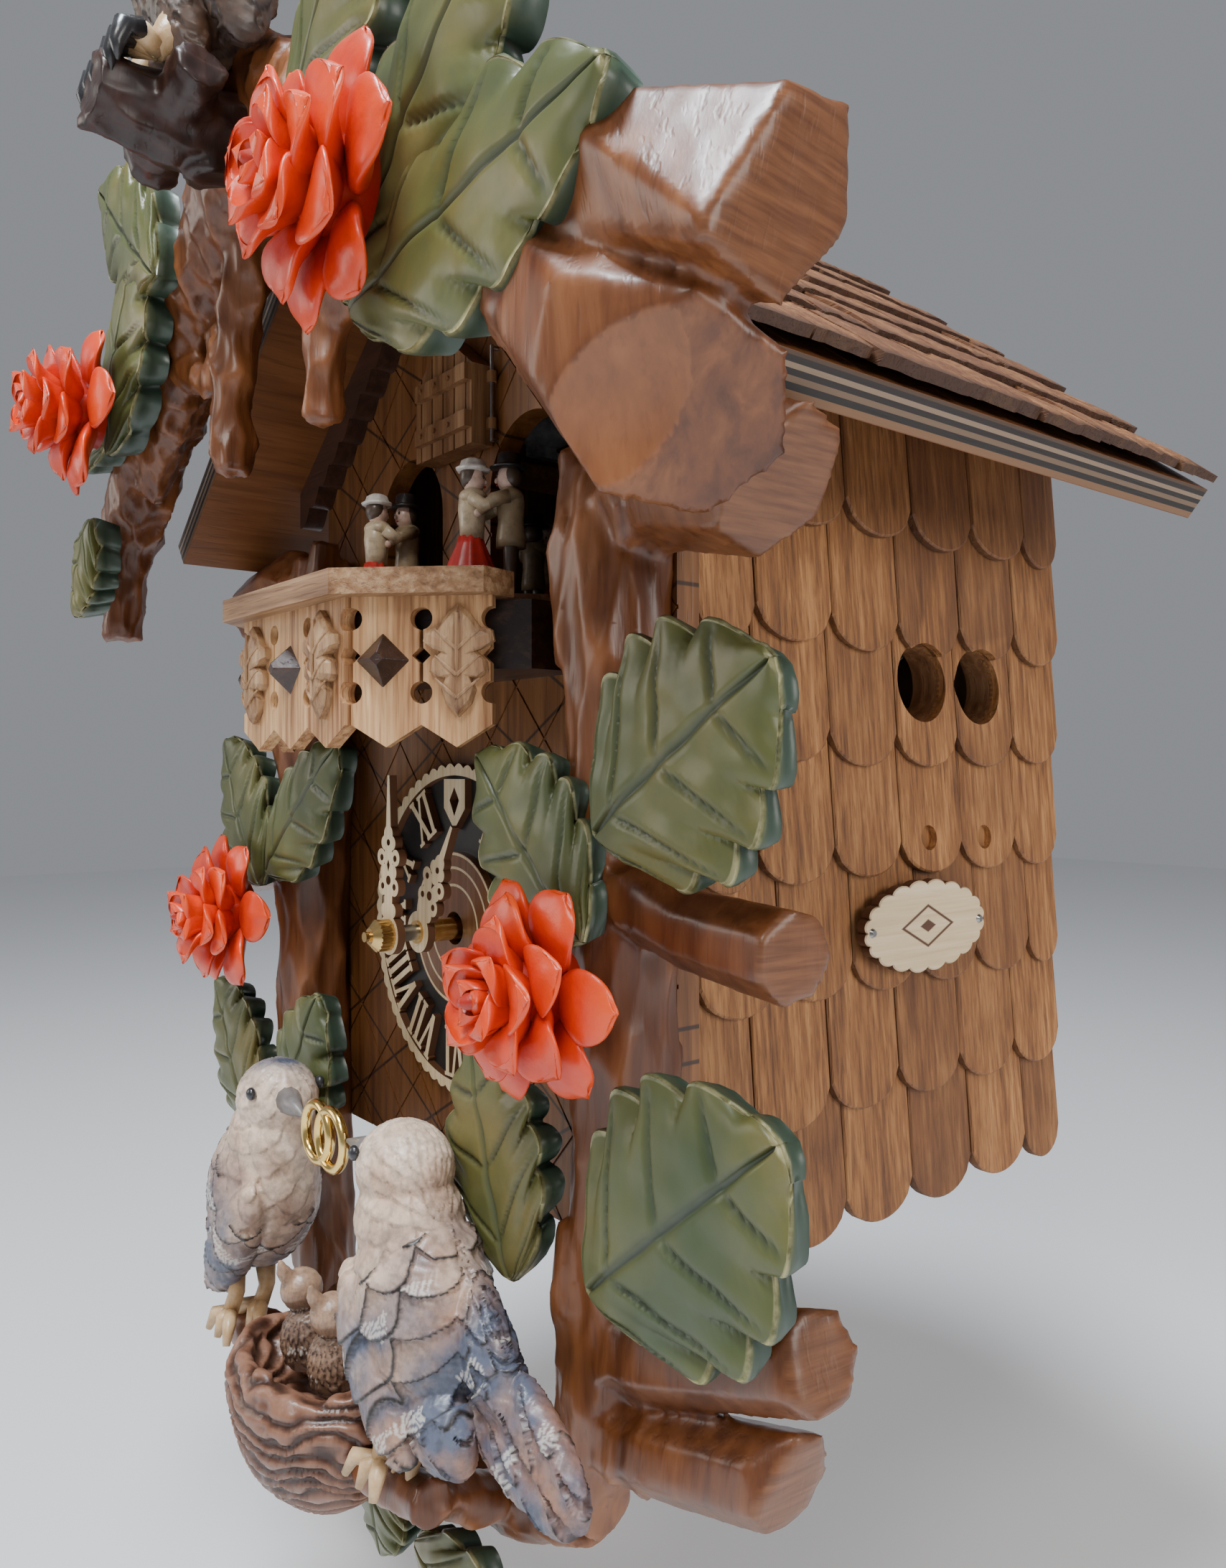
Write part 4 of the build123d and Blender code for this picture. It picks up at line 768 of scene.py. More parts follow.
def trunk_parts(side):
    """Right or left trunk: a gnarled column with faceted stubs, standing on the front board."""
    def s(x, y, z):
        return (side * x, y, z)

    cuts = [(s(*point), s(*normal)) for point, normal in TRUNK_CUTS]
    return [
        tube_part([s(103, -17, 250), s(104, -20, 215), s(107, -21, 170), s(107, -22, 120), s(107, -20, 60),
                   s(108, -20, 10), s(102, -21, -30), s(90, -22, -70)],
                  [14, 17, 17, 16, 16, 17, 16, 12], 18),
        tube_part([s(90, -24, 256), s(95, -27, 225), s(100, -27, 190)], [6, 9, 11]),
        cut_part(tube_part([s(104, -22, 130), s(120, -24, 122), s(142, -23, 114), s(184, -22, 110)],
                           [13, 13, 12, 13.2], 7), cuts[:1]),
        cut_part(tube_part([s(100, -19, 232), s(130, -18, 240), s(184, -19, 230)], [14, 20, 21.5], 6),
                 cuts[3:] + [(s(168, -34, 240), s(0.5, -0.8, 0.35))]),
        cut_part(tube_part([s(96, -22, -16), s(130, -23, -6), s(192, -22, 15)], [14, 14, 13.2], 7),
                 cuts[1:2] + [(s(182, -32, 16), s(0.6, -0.75, 0.3))]),
        cut_part(tube_part([s(96, -22, -42), s(130, -23, -34), s(184, -22, -19)], [13, 13, 13], 7),
                 cuts[2:3] + [(s(172, -32, -16), s(0.6, -0.75, 0.3))]),
        tube_part([s(112, -13, 190), s(113, -13, 120), s(112, -13, 30)], [8.5, 8.5, 8.5], 8),
        tube_part([s(100, -30, 100), s(108, -33, 112), s(120, -31, 120)], [5, 7, 5], 8),
        tube_part([s(98, -33, -20), s(101, -36, 0), s(98, -33, 24)], [4, 6, 4], 7),
    ]


def carve_trunk(points, normals):
    """Long gouge cuts on the column, plain facets on the stubs, pale sawn ends."""
    moved, cut = gouged(points, normals, (7, 7, 24), 2.1, 1.3, 3.0)
    calm = np.clip(1 - (np.abs(points[:, 0]) - 122) / 12, 0.1, 1)[:, None]
    moved = points + (moved - points) * calm
    moved[:, 1] = np.minimum(moved[:, 1], np.where(np.abs(moved[:, 0]) < 119.4, FRONT_FACE + 0.5, -0.3))
    mirrored = [(tuple(np.array(v) * (-1, 1, 1)) for v in plane) for plane in TRUNK_CUTS]
    sawn = near_planes(points, list(TRUNK_CUTS) + [tuple(pair) for pair in mirrored], 24)
    shadow = np.clip((moved[:, 1] + 15) / 7, 0, 1) * (1 - sawn)
    return moved, {"cut": cut * calm[:, 0], "shadow": shadow * 0.7, "sawn": sawn}


GABLE_CUTS = (((230, -84, 268), (0.93, 0.1, -0.25)), ((204, -90, 232), (0.66, -0.45, -0.6)))
SCOOP = ((219, -124, 212), 45.0)


def gable_parts():
    """The carved branches that form the gable, with the loop on the left and cut stubs on the right."""
    return [
        tube_part([(0, -80, 384), (50, -80, 356), (100, -80, 326), (150, -80, 300), (184, -80, 276)],
                  [22, 20, 19, 20, 19], 14),
        tube_part([(0, -80, 384), (-50, -80, 356), (-100, -80, 326), (-150, -80, 294), (-178, -80, 262)],
                  [22, 20, 17, 15, 14], 14),
        tube_part([(-172, -80, 272), (-180, -82, 246), (-179, -82, 217)], [13, 11, 8], 9),
        tube_part([(36, -80, 350), (40, -82, 318), (39, -84, 288), (39, -84, 266)], [12, 9, 8, 5.5], 7),
        tube_part([(-30, -80, 352), (-39, -82, 318), (-42, -84, 290), (-39, -84, 266)], [10, 8, 8, 7], 7),
        tube_part([(-60, -80, 352), (-62, -80, 326), (-46, -82, 308)], [9, 7, 7], 9),
        tube_part([(-40, -84, 300), (-62, -84, 306), (-92, -82, 318)], [6, 6, 8], 9),
        tube_part([(-92, -82, 318), (-120, -82, 296), (-140, -82, 276)], [9, 8, 7], 9),
        tube_part([(80, -80, 322), (60, -82, 312), (44, -84, 300)], [10, 8, 7], 9),
        cut_part(tube_part([(112, -80, 316), (150, -82, 302), (182, -83, 288), (242, -84, 264)],
                           [16, 19, 23, 25], 6),
                 [GABLE_CUTS[0], ((212, -100, 274), (0.42, -0.82, 0.4)),
                  ((214, -88, 288), (0.3, -0.1, 0.95))]),
        cut_part(tube_part([(118, -80, 304), (150, -83, 280), (212, -87, 222)], [15, 20, 24], 7),
                 [GABLE_CUTS[1], ((186, -104, 240), (0.35, -0.92, -0.1))]),
        tube_part([(0, -80, 392), (10, -84, 376), (24, -86, 352)], [10, 10, 8], 9),
    ]


def carve_gable(points, normals):
    """Short gouge cuts, plain facets and one hollowed face on the right stubs."""
    moved, cut = gouged(points, normals, (6.5, 6.5, 15), 2.6, 1.4, 7.0)
    calm = np.clip(1 - (points[:, 0] - 158) / 14, 0.08, 1)[:, None]
    moved = points + (moved - points) * calm
    centre, radius = np.array(SCOOP[0], float), SCOOP[1]
    offset = moved - centre
    far = np.linalg.norm(offset, axis=1)
    inside = (far < radius) & (moved[:, 0] > 170)
    moved[inside] = centre + offset[inside] / far[inside, None] * radius
    moved[:, 1] = np.clip(moved[:, 1], -112, ROOF_FRONT - 0.8)
    sawn = near_planes(points, GABLE_CUTS[:1], 30)
    shadow = np.clip((moved[:, 1] + 68) / 8, 0, 1) * (1 - sawn)
    return moved, {"cut": np.where(inside, 0.7, cut * calm[:, 0]), "shadow": shadow, "sawn": sawn}


def bottom_parts():
    parts = [
        tube_part([(-92, -22, -68), (-60, -22, -84), (0, -22, -91), (60, -22, -84), (92, -22, -68)],
                  [12, 11, 12, 11, 12], 12),
    ]
    for side in (-1, 1):
        parts.append(tube_part([(side * 58, -26, -80), (side * 64, -46, -70), (side * 68, -64, -60)],
                               [8, 8, 7.5], 9))
        parts.append(tube_part([(side * 36, -66, -66), (side * 56, -67, -62), (side * 76, -67, -58)],
                               [7.5, 8, 8], 9))
    return parts


def carve_bottom(points, normals):
    moved, cut = gouged(points, normals, (10, 8, 8), 1.1, 1.0, 11.0)
    moved[:, 1] = np.minimum(moved[:, 1], FRONT_FACE - 0.3)
    shadow = np.clip((moved[:, 1] + 18) / 8, 0, 1)
    return moved, {"cut": cut, "shadow": shadow}


# ================= birds =================

def bird_material(name, colours, rough=0.38):
    """Painted bird: body colour from three painted values, dark feather edges, pale streaks."""
    pale, warm, dark, edge = colours
    n = Nodes(name)
    speck = n.noise(n.stretch((260, 260, 260)), 1.0, 4.0, 0.65)
    patch = n.noise(n.stretch((60, 60, 60)), 1.0, 3.0)
    colour = n.mix(n.tone("warm"), pale, warm)
    colour = n.mix(n.math("MULTIPLY", n.tone("wing"), n.grade(patch, 0.2, 0.6)), colour, dark)
    colour = n.mix(n.math("MULTIPLY", n.grade(speck, 0.42, 0.62), 0.35), colour, edge)
    colour = n.mix(n.tone("edge"), colour, edge)
    colour = n.mix(n.math("MULTIPLY", n.tone("streak"), 0.75), colour, (0.72, 0.68, 0.62))
    rough_value = n.math("ADD", n.math("MULTIPLY", speck, 0.3), rough - 0.1)
    return n.finish(colour, rough_value, speck, 0.3, 0.0004, coat=0.15)


def plumage(along, around, pitch, wide):
    """Height and edge of overlapping scales; along runs from head to tail, in millimetres."""
    height = np.zeros(len(along))
    edge = np.zeros(len(along))
    free = np.ones(len(along), bool)
    base = np.floor(along / pitch)
    for row in (base, base + 1):
        cell = around / wide + 0.5 * np.mod(row, 2)
        local = (cell - np.floor(cell) - 0.5) * 2
        gap = (row + 1.0) * pitch - pitch * 0.9 * np.abs(local) ** 2.2 - along
        take = free & (gap > 0)
        height = np.where(take, np.clip(1 - gap / (pitch * 1.9), 0, 1), height)
        edge = np.where(take, np.clip((1.5 - gap) / 0.7, 0, 1), edge)
        free &= ~take
    return height, edge


def carve_bird(spine_start, spine_end, wings, feather=2.3, pitch=8.5, wide=9.5):
    """Returns a carve function that cuts plumage along the line from head to tail."""
    start, end = np.array(spine_start, float), np.array(spine_end, float)
    length = np.linalg.norm(end - start)
    axis = (end - start) / length
    front = np.array([0.0, -1.0, 0.0])
    front -= axis * front.dot(axis)
    front /= np.linalg.norm(front)
    cross = np.cross(axis, front)

    def carve(points, normals):
        offset = points - start
        along = offset @ axis
        sideways = offset @ cross
        ahead = offset @ front
        angle = np.arctan2(sideways, ahead)
        small = along < length * 0.32
        step = np.where(small, pitch * 0.62, pitch)
        h_small, e_small = plumage(along, angle * 17.0, pitch * 0.62, wide * 0.62)
        h_big, e_big = plumage(along, angle * 20.0, pitch, wide)
        h_long, e_long = plumage(along, sideways * 1.0 + 200, pitch * 2.6, wide * 0.75)
        tail = along > length * 0.66
        height = np.where(small, h_small * 0.45, h_big)
        height = np.where(tail, h_long * 1.3, height)
        edges = np.where(small, e_small * (0.1 + 0.5 * along / length), e_big)
        edges = np.where(tail, e_long, edges)
        barb = np.sin(sideways * 2.6 + np.abs(np.mod(along, step) - step / 2) * 1.5)
        moved = points + normals * (feather * (height - 0.5) + 0.16 * barb * (~small))[:, None]
        rough = np.array([noise.noise(Vector(tuple(p * 0.08))) for p in points])
        wing = np.clip((along / length - 0.22) * 3.2 + 0.45 * rough, 0, 1)
        for (wx, wy, wz), size in wings:
            near = np.linalg.norm(points - np.array([wx, wy, wz]), axis=1)
            wing = np.maximum(wing, np.clip(1.6 - near / size, 0, 1))
        warm = np.clip((along / length) * 1.3 + 0.5 * rough, 0, 1)
        streak = np.where((height > 0.6) & (np.abs(barb) > 0.6) & (rough > 0.02) & ~small, 0.8, 0.0)
        streak = np.where(e_big > 0.4, 0, streak) * (np.mod(np.floor(along / pitch), 3) < 1)
        return moved, {"wing": wing, "warm": warm, "edge": np.clip(edges, 0, 1), "streak": streak}

    return carve


def songbird_parts(side):
    def s(x, y, z):
        return (side * x, y, z)

    return [
        egg_part(s(50, -62, 33), (17.5, 15.5, 15)),
        egg_part(s(53, -62, 17), (20, 17, 19)),
        egg_part(s(62, -62, -4), (25, 20, 34), (0, side * -28, 0)),
        egg_part(s(57, -76, -20), (11, 8, 31), (0, side * -38, 0)),
        egg_part(s(87, -58, -6), (10, 8, 28), (0, side * -46, 0)),
        egg_part(s(80, -68, -30), (11, 8, 18), (0, side * -60, 0)),
        egg_part(s(106, -56, -27), (14, 5.5, 31), (0, side * -66, 0)),
        egg_part(s(104, -58, -33), (8, 5, 29), (0, side * -72, 0)),
        tube_part([s(38, -64, 34), s(29, -65, 34), s(20, -66, 34)], [5.5, 3.2, 0.9], 10),
    ]


def bird_extras(side):
    """Eye, beak, legs and claws of one songbird."""
    eye, beak, leg = Shape(), Shape(), Shape()
    for y in (-75.6, -48.6):
        eye.add(*egg_part((side * 42, y, 38), (2.4, 1.8, 2.4), rings=8, sides=12))
    beak.add(*tube_part([(side * 36, -64, 35), (side * 29, -65, 34.5), (side * 18, -66, 34)],
                        [5.2, 3.6, 0.7], 12))
    for y in (-74, -62):
        leg.add(*tube_part([(side * 62, y, -32), (side * 60, y, -42), (side * 61, y - 2, -49)],
                           [4.2, 3.2, 3.2], 10))
        for toe in (-9, -2, 5):
            leg.add(*tube_part([(side * 61, y - 2, -49), (side * (61 + toe), y - 6, -50),
                                (side * (61 + toe * 1.3), y - 8, -56)], [2.8, 2.5, 1.3], 8))
    return eye, beak, leg


def simple_paint(name, colour, second, rough=0.45, scale=90.0, bump=0.25, coat=0.1, metal=0.0):
    """Brush-painted colour with soft variation of tone and surface."""
    n = Nodes(name)
    patch = n.noise(n.stretch((scale, scale, scale)), 1.0, 4.0, 0.6)
    fine = n.noise(n.stretch((scale * 5,) * 3), 1.0, 3.0, 0.6)
    mixed = n.mix(n.grade(patch, 0.35, 0.65), colour, second)
    roughness = n.math("ADD", n.math("MULTIPLY", fine, 0.2), rough - 0.1)
    return n.finish(mixed, roughness, fine, bump, 0.0004, coat=coat, metal=metal)


def nest_parts():
    parts = []
    rings, around = 16, 40
    points = []
    for i in range(rings):
        v = math.pi / 2 * (1 - i / (rings - 1))
        for j in range(around):
            angle = 2 * math.pi * j / around
            points.append((41 * math.cos(v) * math.cos(angle), -66 + 30.5 * math.cos(v) * math.sin(angle),
                           -62 - 33.5 * math.sin(v) + (i / (rings - 1)) * 12))
    for i in range(8):
        v = i / 7
        for j in range(around):
            angle = 2 * math.pi * j / around
            wide, deep = 33 - 14 * v, 23 - 9 * v
            points.append((wide * math.cos(angle), -66 + deep * math.sin(angle), -46 - 14 * v))
    faces = grid_faces(rings + 8, around, wrap=True)
    faces.append(tuple(range((rings + 7) * around, (rings + 8) * around)))
    faces.append(tuple(range(around))[::-1])
    parts.append((points, faces))
    for lift in (0, 1, 2):
        ring = []
        for k in range(41):
            angle = 2 * math.pi * k / 40
            ring.append(((37 - lift) * math.cos(angle), -66 + (27 - lift) * math.sin(angle),
                         -50 + 2.2 * lift + 1.6 * math.sin(angle * 5 + lift)))
        parts.append(tube_part(ring, [3.4] * 41, 8))
    return parts


def carve_nest(points, normals):
    flow = np.array([noise.noise(Vector((p[0] * 0.05, p[1] * 0.05, p[2] * 0.05 + 4))) for p in points])
    fine = np.array([noise.noise(Vector((p[0] * 0.16, p[1] * 0.16, p[2] * 0.3))) for p in points])
    strand = np.sin(points[:, 2] * 1.25 + flow * 13 + fine * 2.2 + points[:, 0] * 0.12)
    moved = points + normals * (0.95 * strand + 0.8 * flow)[:, None]
    moved[:, 1] = np.minimum(moved[:, 1], -34.2)
    return moved, {"cut": (strand + 1) / 2, "shadow": np.clip(-strand, 0, 1)}


def chick_parts(x):
    lean = 3 if x > 0 else -2
    return [egg_part((x, -66, -42), (9, 10.5, 12.5)), egg_part((x + lean * 0.5, -69, -25), (7.6, 7.6, 7.2)),
            tube_part([(x + lean * 0.5, -73, -21), (x + lean * 0.6, -76, -17), (x + lean * 0.6, -77, -13)],
                      [3.4, 2.6, 0.8], 8)]


def owl_parts():
    parts = [egg_part((0, -111, 424), (25, 21, 43)), egg_part((0, -116, 466), (21.5, 19, 19)),
             egg_part((-21, -106, 421), (9, 15, 38), (0, 6, 0)),
             egg_part((21, -106, 421), (9, 15, 38), (0, -6, 0)),
             egg_part((0, -91, 370), (12, 5, 34)), egg_part((-11, -118, 392), (8, 8, 14)),
             egg_part((11, -118, 392), (8, 8, 14))]
    for side in (-1, 1):
        parts.append(tube_part([(side * 13, -118, 478), (side * 16, -116, 486)], [5, 1.6], 8))
    return parts


# ================= dancers =================

PAINTS = ((0.0, (0.72, 0.5, 0.4)), (0.1, (0.78, 0.74, 0.68)), (0.2, (0.62, 0.5, 0.33)),
          (0.3, (0.6, 0.03, 0.025)), (0.4, (0.012, 0.012, 0.014)), (0.5, (0.36, 0.27, 0.16)),
          (0.6, (0.09, 0.06, 0.04)), (0.7, (0.5, 0.06, 0.05)), (0.8, (0.03, 0.025, 0.02)))
SKIN, WHITE, BLOUSE, RED, JET, COAT, BROWN, LIP, EYE = (0.02 + 0.1 * k for k in range(9))


def figure_material():
    """Miniature paint: flat colours picked by the painted value hue, softened by brush marks."""
    n = Nodes("figure_paint")
    colour = n.ramp(n.tone("hue"), *PAINTS)
    for element in n.tree.nodes:
        if element.bl_idname == "ShaderNodeValToRGB":
            element.color_ramp.interpolation = "CONSTANT"
    brush = n.noise(n.stretch((420, 420, 420)), 1.0, 3.0, 0.6)
    shade = n.mix(n.math("MULTIPLY", n.grade(brush, 0.45, 0.7), 0.35), colour, (0.09, 0.05, 0.035))
    return n.finish(shade, n.math("ADD", n.math("MULTIPLY", brush, 0.3), 0.25), brush, 0.3, 0.0003, coat=0.3)


def lathe_part(centre, profile, folds=0, depth=0.0, around=36, turn=0.0):
    """Closed turned form along Z; folds waves its outline by depth of the radius."""
    points = []
    for z, radius in profile:
        for j in range(around):
            angle = 2 * math.pi * j / around
            wave = 1 + depth * math.cos(folds * angle + turn) if folds else 1
            points.append((centre[0] + radius * wave * math.cos(angle), centre[1] + radius * wave * math.sin(angle),
                           centre[2] + z))
    faces = grid_faces(len(profile), around, wrap=True)
    faces.append(tuple(range(around))[::-1])
    last = (len(profile) - 1) * around
    faces.append(tuple(range(last, last + around)))
    return points, faces


def couple_shape(shape, place):
    """A dancing pair: the woman on the left of her own frame, the man on the right, facing each other."""
    def put(part, hue):
        points, faces = part
        shape.add([place(p) for p in points], faces, hue=hue)

    put(lathe_part((-7, 0, 0), [(0, 10.6), (1.4, 10.9), (6, 9.8), (13, 7.4), (19, 4.9),
                    (22, 4.0)], 9, 0.06), RED)
    put(lathe_part((-7, 0, 0.1), [(0, 10.9), (1.0, 11.1), (2.2, 10.4)], 14, 0.04), WHITE)
    put(lathe_part((-6.6, 0, 21), [(0, 4.1), (5, 4.4), (10, 4.9), (14, 4.6), (16.5, 2.6)]), BLOUSE)
    put(egg_part((-6.2, 0, 35.5), (5.0, 6.2, 3.4)), BLOUSE)
    put(lathe_part((-6, 0, 36), [(0, 1.9), (3, 1.9)]), SKIN)
    put(egg_part((-6, 0, 41.5), (4.0, 3.9, 5.0)), SKIN)
    put(egg_part((-7.3, 0, 42.6), (3.6, 4.2, 4.6)), BROWN)
    put(lathe_part((-6.3, 0, 44.6), [(0, 5.6), (0.9, 6.0), (1.8, 4.6), (3.6, 4.0),
                    (4.6, 2.2)], 7, 0.04), WHITE)
    for y in (-2.1, 2.1):
        put(lathe_part((7, y, 0), [(0, 2.6), (1.6, 2.7), (2.2, 2.0), (19, 2.6), (21, 2.9)], 0, 0, 16), BROWN)
        put(egg_part((5.6, y, 1.2), (4.0, 1.9, 1.2)), JET)
    put(lathe_part((7, 0, 18), [(0, 5.2), (3, 5.2), (9, 4.5), (15, 5.0), (18.5, 4.6), (20.5, 2.4)]), COAT)
    put(egg_part((6.8, 0, 35.8), (4.6, 6.6, 3.3)), COAT)
    put(lathe_part((6.2, 0, 37), [(0, 1.9), (2.5, 1.9)]), SKIN)
    put(egg_part((6, 0, 42), (4.0, 3.9, 5.0)), SKIN)
    put(egg_part((7.2, 0, 42.4), (3.7, 4.2, 4.4)), BROWN)
    put(lathe_part((6.2, 0, 45.2), [(0, 6.2), (0.7, 6.7), (1.3, 4.6), (2.0, 4.1),
                    (5.2, 3.9), (5.8, 3.0)]), JET)
    for y in (-1, 1):
        put(tube_part([(-6, 5.2 * y, 34.6), (-1.5, 6.6 * y, 31.6), (4.5, 5.2 * y, 33.8)],
                      [2.5, 2.3, 1.6], 12), BLOUSE)
        put(tube_part([(6.8, 5.4 * y, 35), (2, 6.9 * y, 33.6), (-3.4, 4.7 * y, 30.0)],
                      [2.5, 2.3, 1.7], 12), COAT)
        put(egg_part((-3.8, 4.4 * y, 29.4), (1.5, 1.3, 1.6)), SKIN)
        put(egg_part((5, 5.0 * y, 34.2), (1.4, 1.3, 1.5)), SKIN)
        put(egg_part((-2.5, 1.5 * y, 42.4), (0.5, 0.55, 0.7)), EYE)
        put(egg_part((2.5, 1.5 * y, 42.9), (0.5, 0.55, 0.7)), EYE)
    put(egg_part((-1.9, 0, 40.9), (0.7, 0.6, 0.9)), SKIN)
    put(egg_part((-2.3, 0, 39.3), (0.5, 1.0, 0.4)), LIP)
    put(egg_part((1.9, 0, 41.4), (0.7, 0.6, 1.0)), SKIN)
    put(egg_part((2.3, 0, 39.8), (0.5, 1.0, 0.4)), LIP)


def dancers(material):
    shape = Shape()
    for k, turn in enumerate((200, 300, 90, 50)):
        angle = math.radians(45 + 90 * k)
        x0, y0 = 51 * math.cos(angle), 15 + 51 * math.sin(angle)
        c, s = math.cos(math.radians(turn)), math.sin(math.radians(turn))
        couple_shape(shape, lambda p: (x0 + p[0] * c - p[1] * s, y0 + p[0] * s + p[1] * c, 217.05 + p[2]))
    return shape.piece("painted_dancers", material, body="dance_floor", replaces=("dancers",),
                       slot="painted_figures")


# ================= small carvings =================

def oak_leaf(shape, place):
    """Small oak leaf hanging point down, with lobes, a midrib and side veins."""
    outline = [(0, 209.3), (3.2, 206.5), (6.5, 202.2), (10.6, 200.6), (11.2, 197.6), (8.2, 195.6), (5.6, 194.6),
               (8.6, 191.8), (9.2, 188.2), (6.6, 186.2), (4.0, 186.0), (5.4, 182.6), (4.0, 178.4), (0, 174.2)]
    full = outline + [(-x, z) for x, z in reversed(outline[1:-1])]
    rings = [(1.0, 0.0), (1.0, -2.2), (0.9, -3.6), (0.45, -4.6), (0.12, -4.4)]
    count = len(full)
    points, vein = [], []
    for scale, y in rings:
        for x, z in full:
            points.append((x * scale, y, 190 + (z - 190) * (scale if scale > 0.5 else scale * 1.6)))
            vein.append(1.0 if scale > 0.95 else 0.0)
    faces = grid_faces(len(rings), count, wrap=True)
    faces.append(tuple(range(count))[::-1])
    faces.append(tuple(range((len(rings) - 1) * count, len(rings) * count)))
    shape.add([place(p) for p in points], faces, vein=vein)
    ribs = [((0, 206), (0, 177))] + [((0, z), (side * 7, z + 6)) for z in (180, 187, 195) for side in (-1, 1)]
    for (x0, z0), (x1, z1) in ribs:
        middle = ((x0 + x1) / 2, -4.6, (z0 + z1) / 2)
        rib = tube_part([(x0, -4.4, z0), middle, (x1, -3.5, z1)], [0.75, 0.6, 0.3], 6)
        shape.add([place(p) for p in rib[0]], rib[1], vein=1.0)


def railing_leaves(material):
    """Oak leaves on the railing, two on the middle facet and one on each side facet."""
    shape = Shape()
    middle = RAIL_HALF + RAIL_FACET / (2 * math.sqrt(2))
    depth = RAIL_FRONT + RAIL_FACET / (2 * math.sqrt(2))
    facets = [(0, RAIL_FRONT, 0, 2 * RAIL_HALF, 3, (0, 2)), (middle, depth, 45, RAIL_FACET, 2, (1,)),
              (-middle, depth, -45, RAIL_FACET, 2, (0,))]
    for x, y, turn, width, modules, chosen in facets:
        c, s = math.cos(math.radians(turn)), math.sin(math.radians(turn))
        for k in chosen:
            shift = -width / 2 + (k + 0.5) * width / modules
            oak_leaf(shape, lambda p: (x + (p[0] + shift) * c - p[1] * s, y + (p[0] + shift) * s + p[1] * c, p[2]))
    return shape.piece("carved_oak_leaves", material, replaces=("railing_oak_leaves",), smooth=False,
                       slot="maple")


def wavy_trim(material):
    """Dark wavy strips under the roof, their lower edge cut in shallow bays."""
    shape = Shape()
    for side in (1, -1):
        top, low = [], []
        steps = 160
        for k in range(steps + 1):
            x = 30 + 100 * k / steps
            bay = abs(math.sin(math.pi * k / 16))
            top.append((side * x, roof_height(x) - 0.4))
            low.append((side * x, roof_height(x) - 16 - 3.2 * bay))
        points, faces = extruded(top + low[::-1], FRONT_FACE - 9, FRONT_FACE)
        if side < 0:
            faces = [face[::-1] for face in faces]
        shape.add(points, faces)
    return shape.piece("wavy_gable_trim", material, replaces=("gable_trim",), smooth=False,
                       slot="dark_stained_wood")


# ================= materials of the CAD nodes =================

def front_board_material():
    """Front board: upright grain, with the diamond lattice scored into its face."""
    material, n = wood("front_board", (0.09, 0.028, 0.006), (0.19, 0.072, 0.018), (0.29, 0.12, 0.036), "Z",
                       stripes=300.0, rough=0.42, coat=0.15, bump=0.2, shade=0.3)
    place = n.add("SeparateXYZ", Vector=n.coords)
    across = n.math("DIVIDE", place.outputs["X"], 0.0613)
    up = n.math("DIVIDE", place.outputs["Z"], 0.036)
    lines = None
    for value, shift in ((n.math("ADD", across, up), 0.768), (n.math("SUBTRACT", across, up), 0.056)):
        away = n.math("PINGPONG", n.math("ADD", value, 20 + shift), 0.5)
        line = n.grade(away, 0.024, 0.012)
        lines = line if lines is None else n.math("MAXIMUM", lines, line)
    rebase(n, n.mix(n.math("MULTIPLY", lines, 0.85), base_of(n), (0.018, 0.007, 0.004)))
    return material


def plywood_material():
    """Roof board: stained underside, with the plies showing as bands along its edges."""
    material, n = wood("roof_plywood", (0.1, 0.03, 0.006), (0.16, 0.052, 0.011), (0.22, 0.08, 0.02), "Y",
                       stripes=260.0, rough=0.5, bump=0.25)
    place = n.add("SeparateXYZ", Vector=n.coords)
    x = n.math("ABSOLUTE", place.outputs["X"])
    over = n.math("ADD", n.math("MULTIPLY", x, math.sin(PITCH)),
                  n.math("MULTIPLY", place.outputs["Z"], math.cos(PITCH)))
    start = (RIDGE_Z - HANGER_Z) / 1000 * math.cos(PITCH)
    depth = n.math("DIVIDE", n.math("SUBTRACT", over, start), ROOF_BOARD / 1000)
    plies = n.ramp(depth, (0.03, (0.2, 0.1, 0.045)), (0.2, (0.016, 0.01, 0.007)), (0.36, (0.17, 0.105, 0.062)),
                   (0.5, (0.018, 0.011, 0.008)), (0.64, (0.25, 0.17, 0.11)), (0.76, (0.02, 0.012, 0.009)),
                   (0.9, (0.075, 0.04, 0.02)))
    for element in n.tree.nodes:
        if element.bl_idname == "ShaderNodeValToRGB" and len(element.color_ramp.elements) == 7:
            element.color_ramp.interpolation = "CONSTANT"
    inside = n.math("MULTIPLY", n.grade(depth, 0.01, 0.03), n.grade(depth, 0.995, 0.985))
    rebase(n, n.mix(inside, base_of(n), plies))
    return material


def maple_material():
    """Pale maple fretwork with burnt, brown sawn sides."""
    material, n = wood("maple_face", (0.5, 0.36, 0.2), (0.66, 0.52, 0.32), (0.76, 0.64, 0.43), "Z", stripes=600.0,
                       rough=0.5, bump=0.1, shade=0.25)
    place = n.add("NewGeometry")
    facing = n.add("SeparateXYZ", Vector=place.outputs["Normal"]).outputs["Y"]
    side = n.grade(facing, -0.82, -0.45)
    rebase(n, n.mix(side, base_of(n), (0.15, 0.062, 0.028)))
    return material


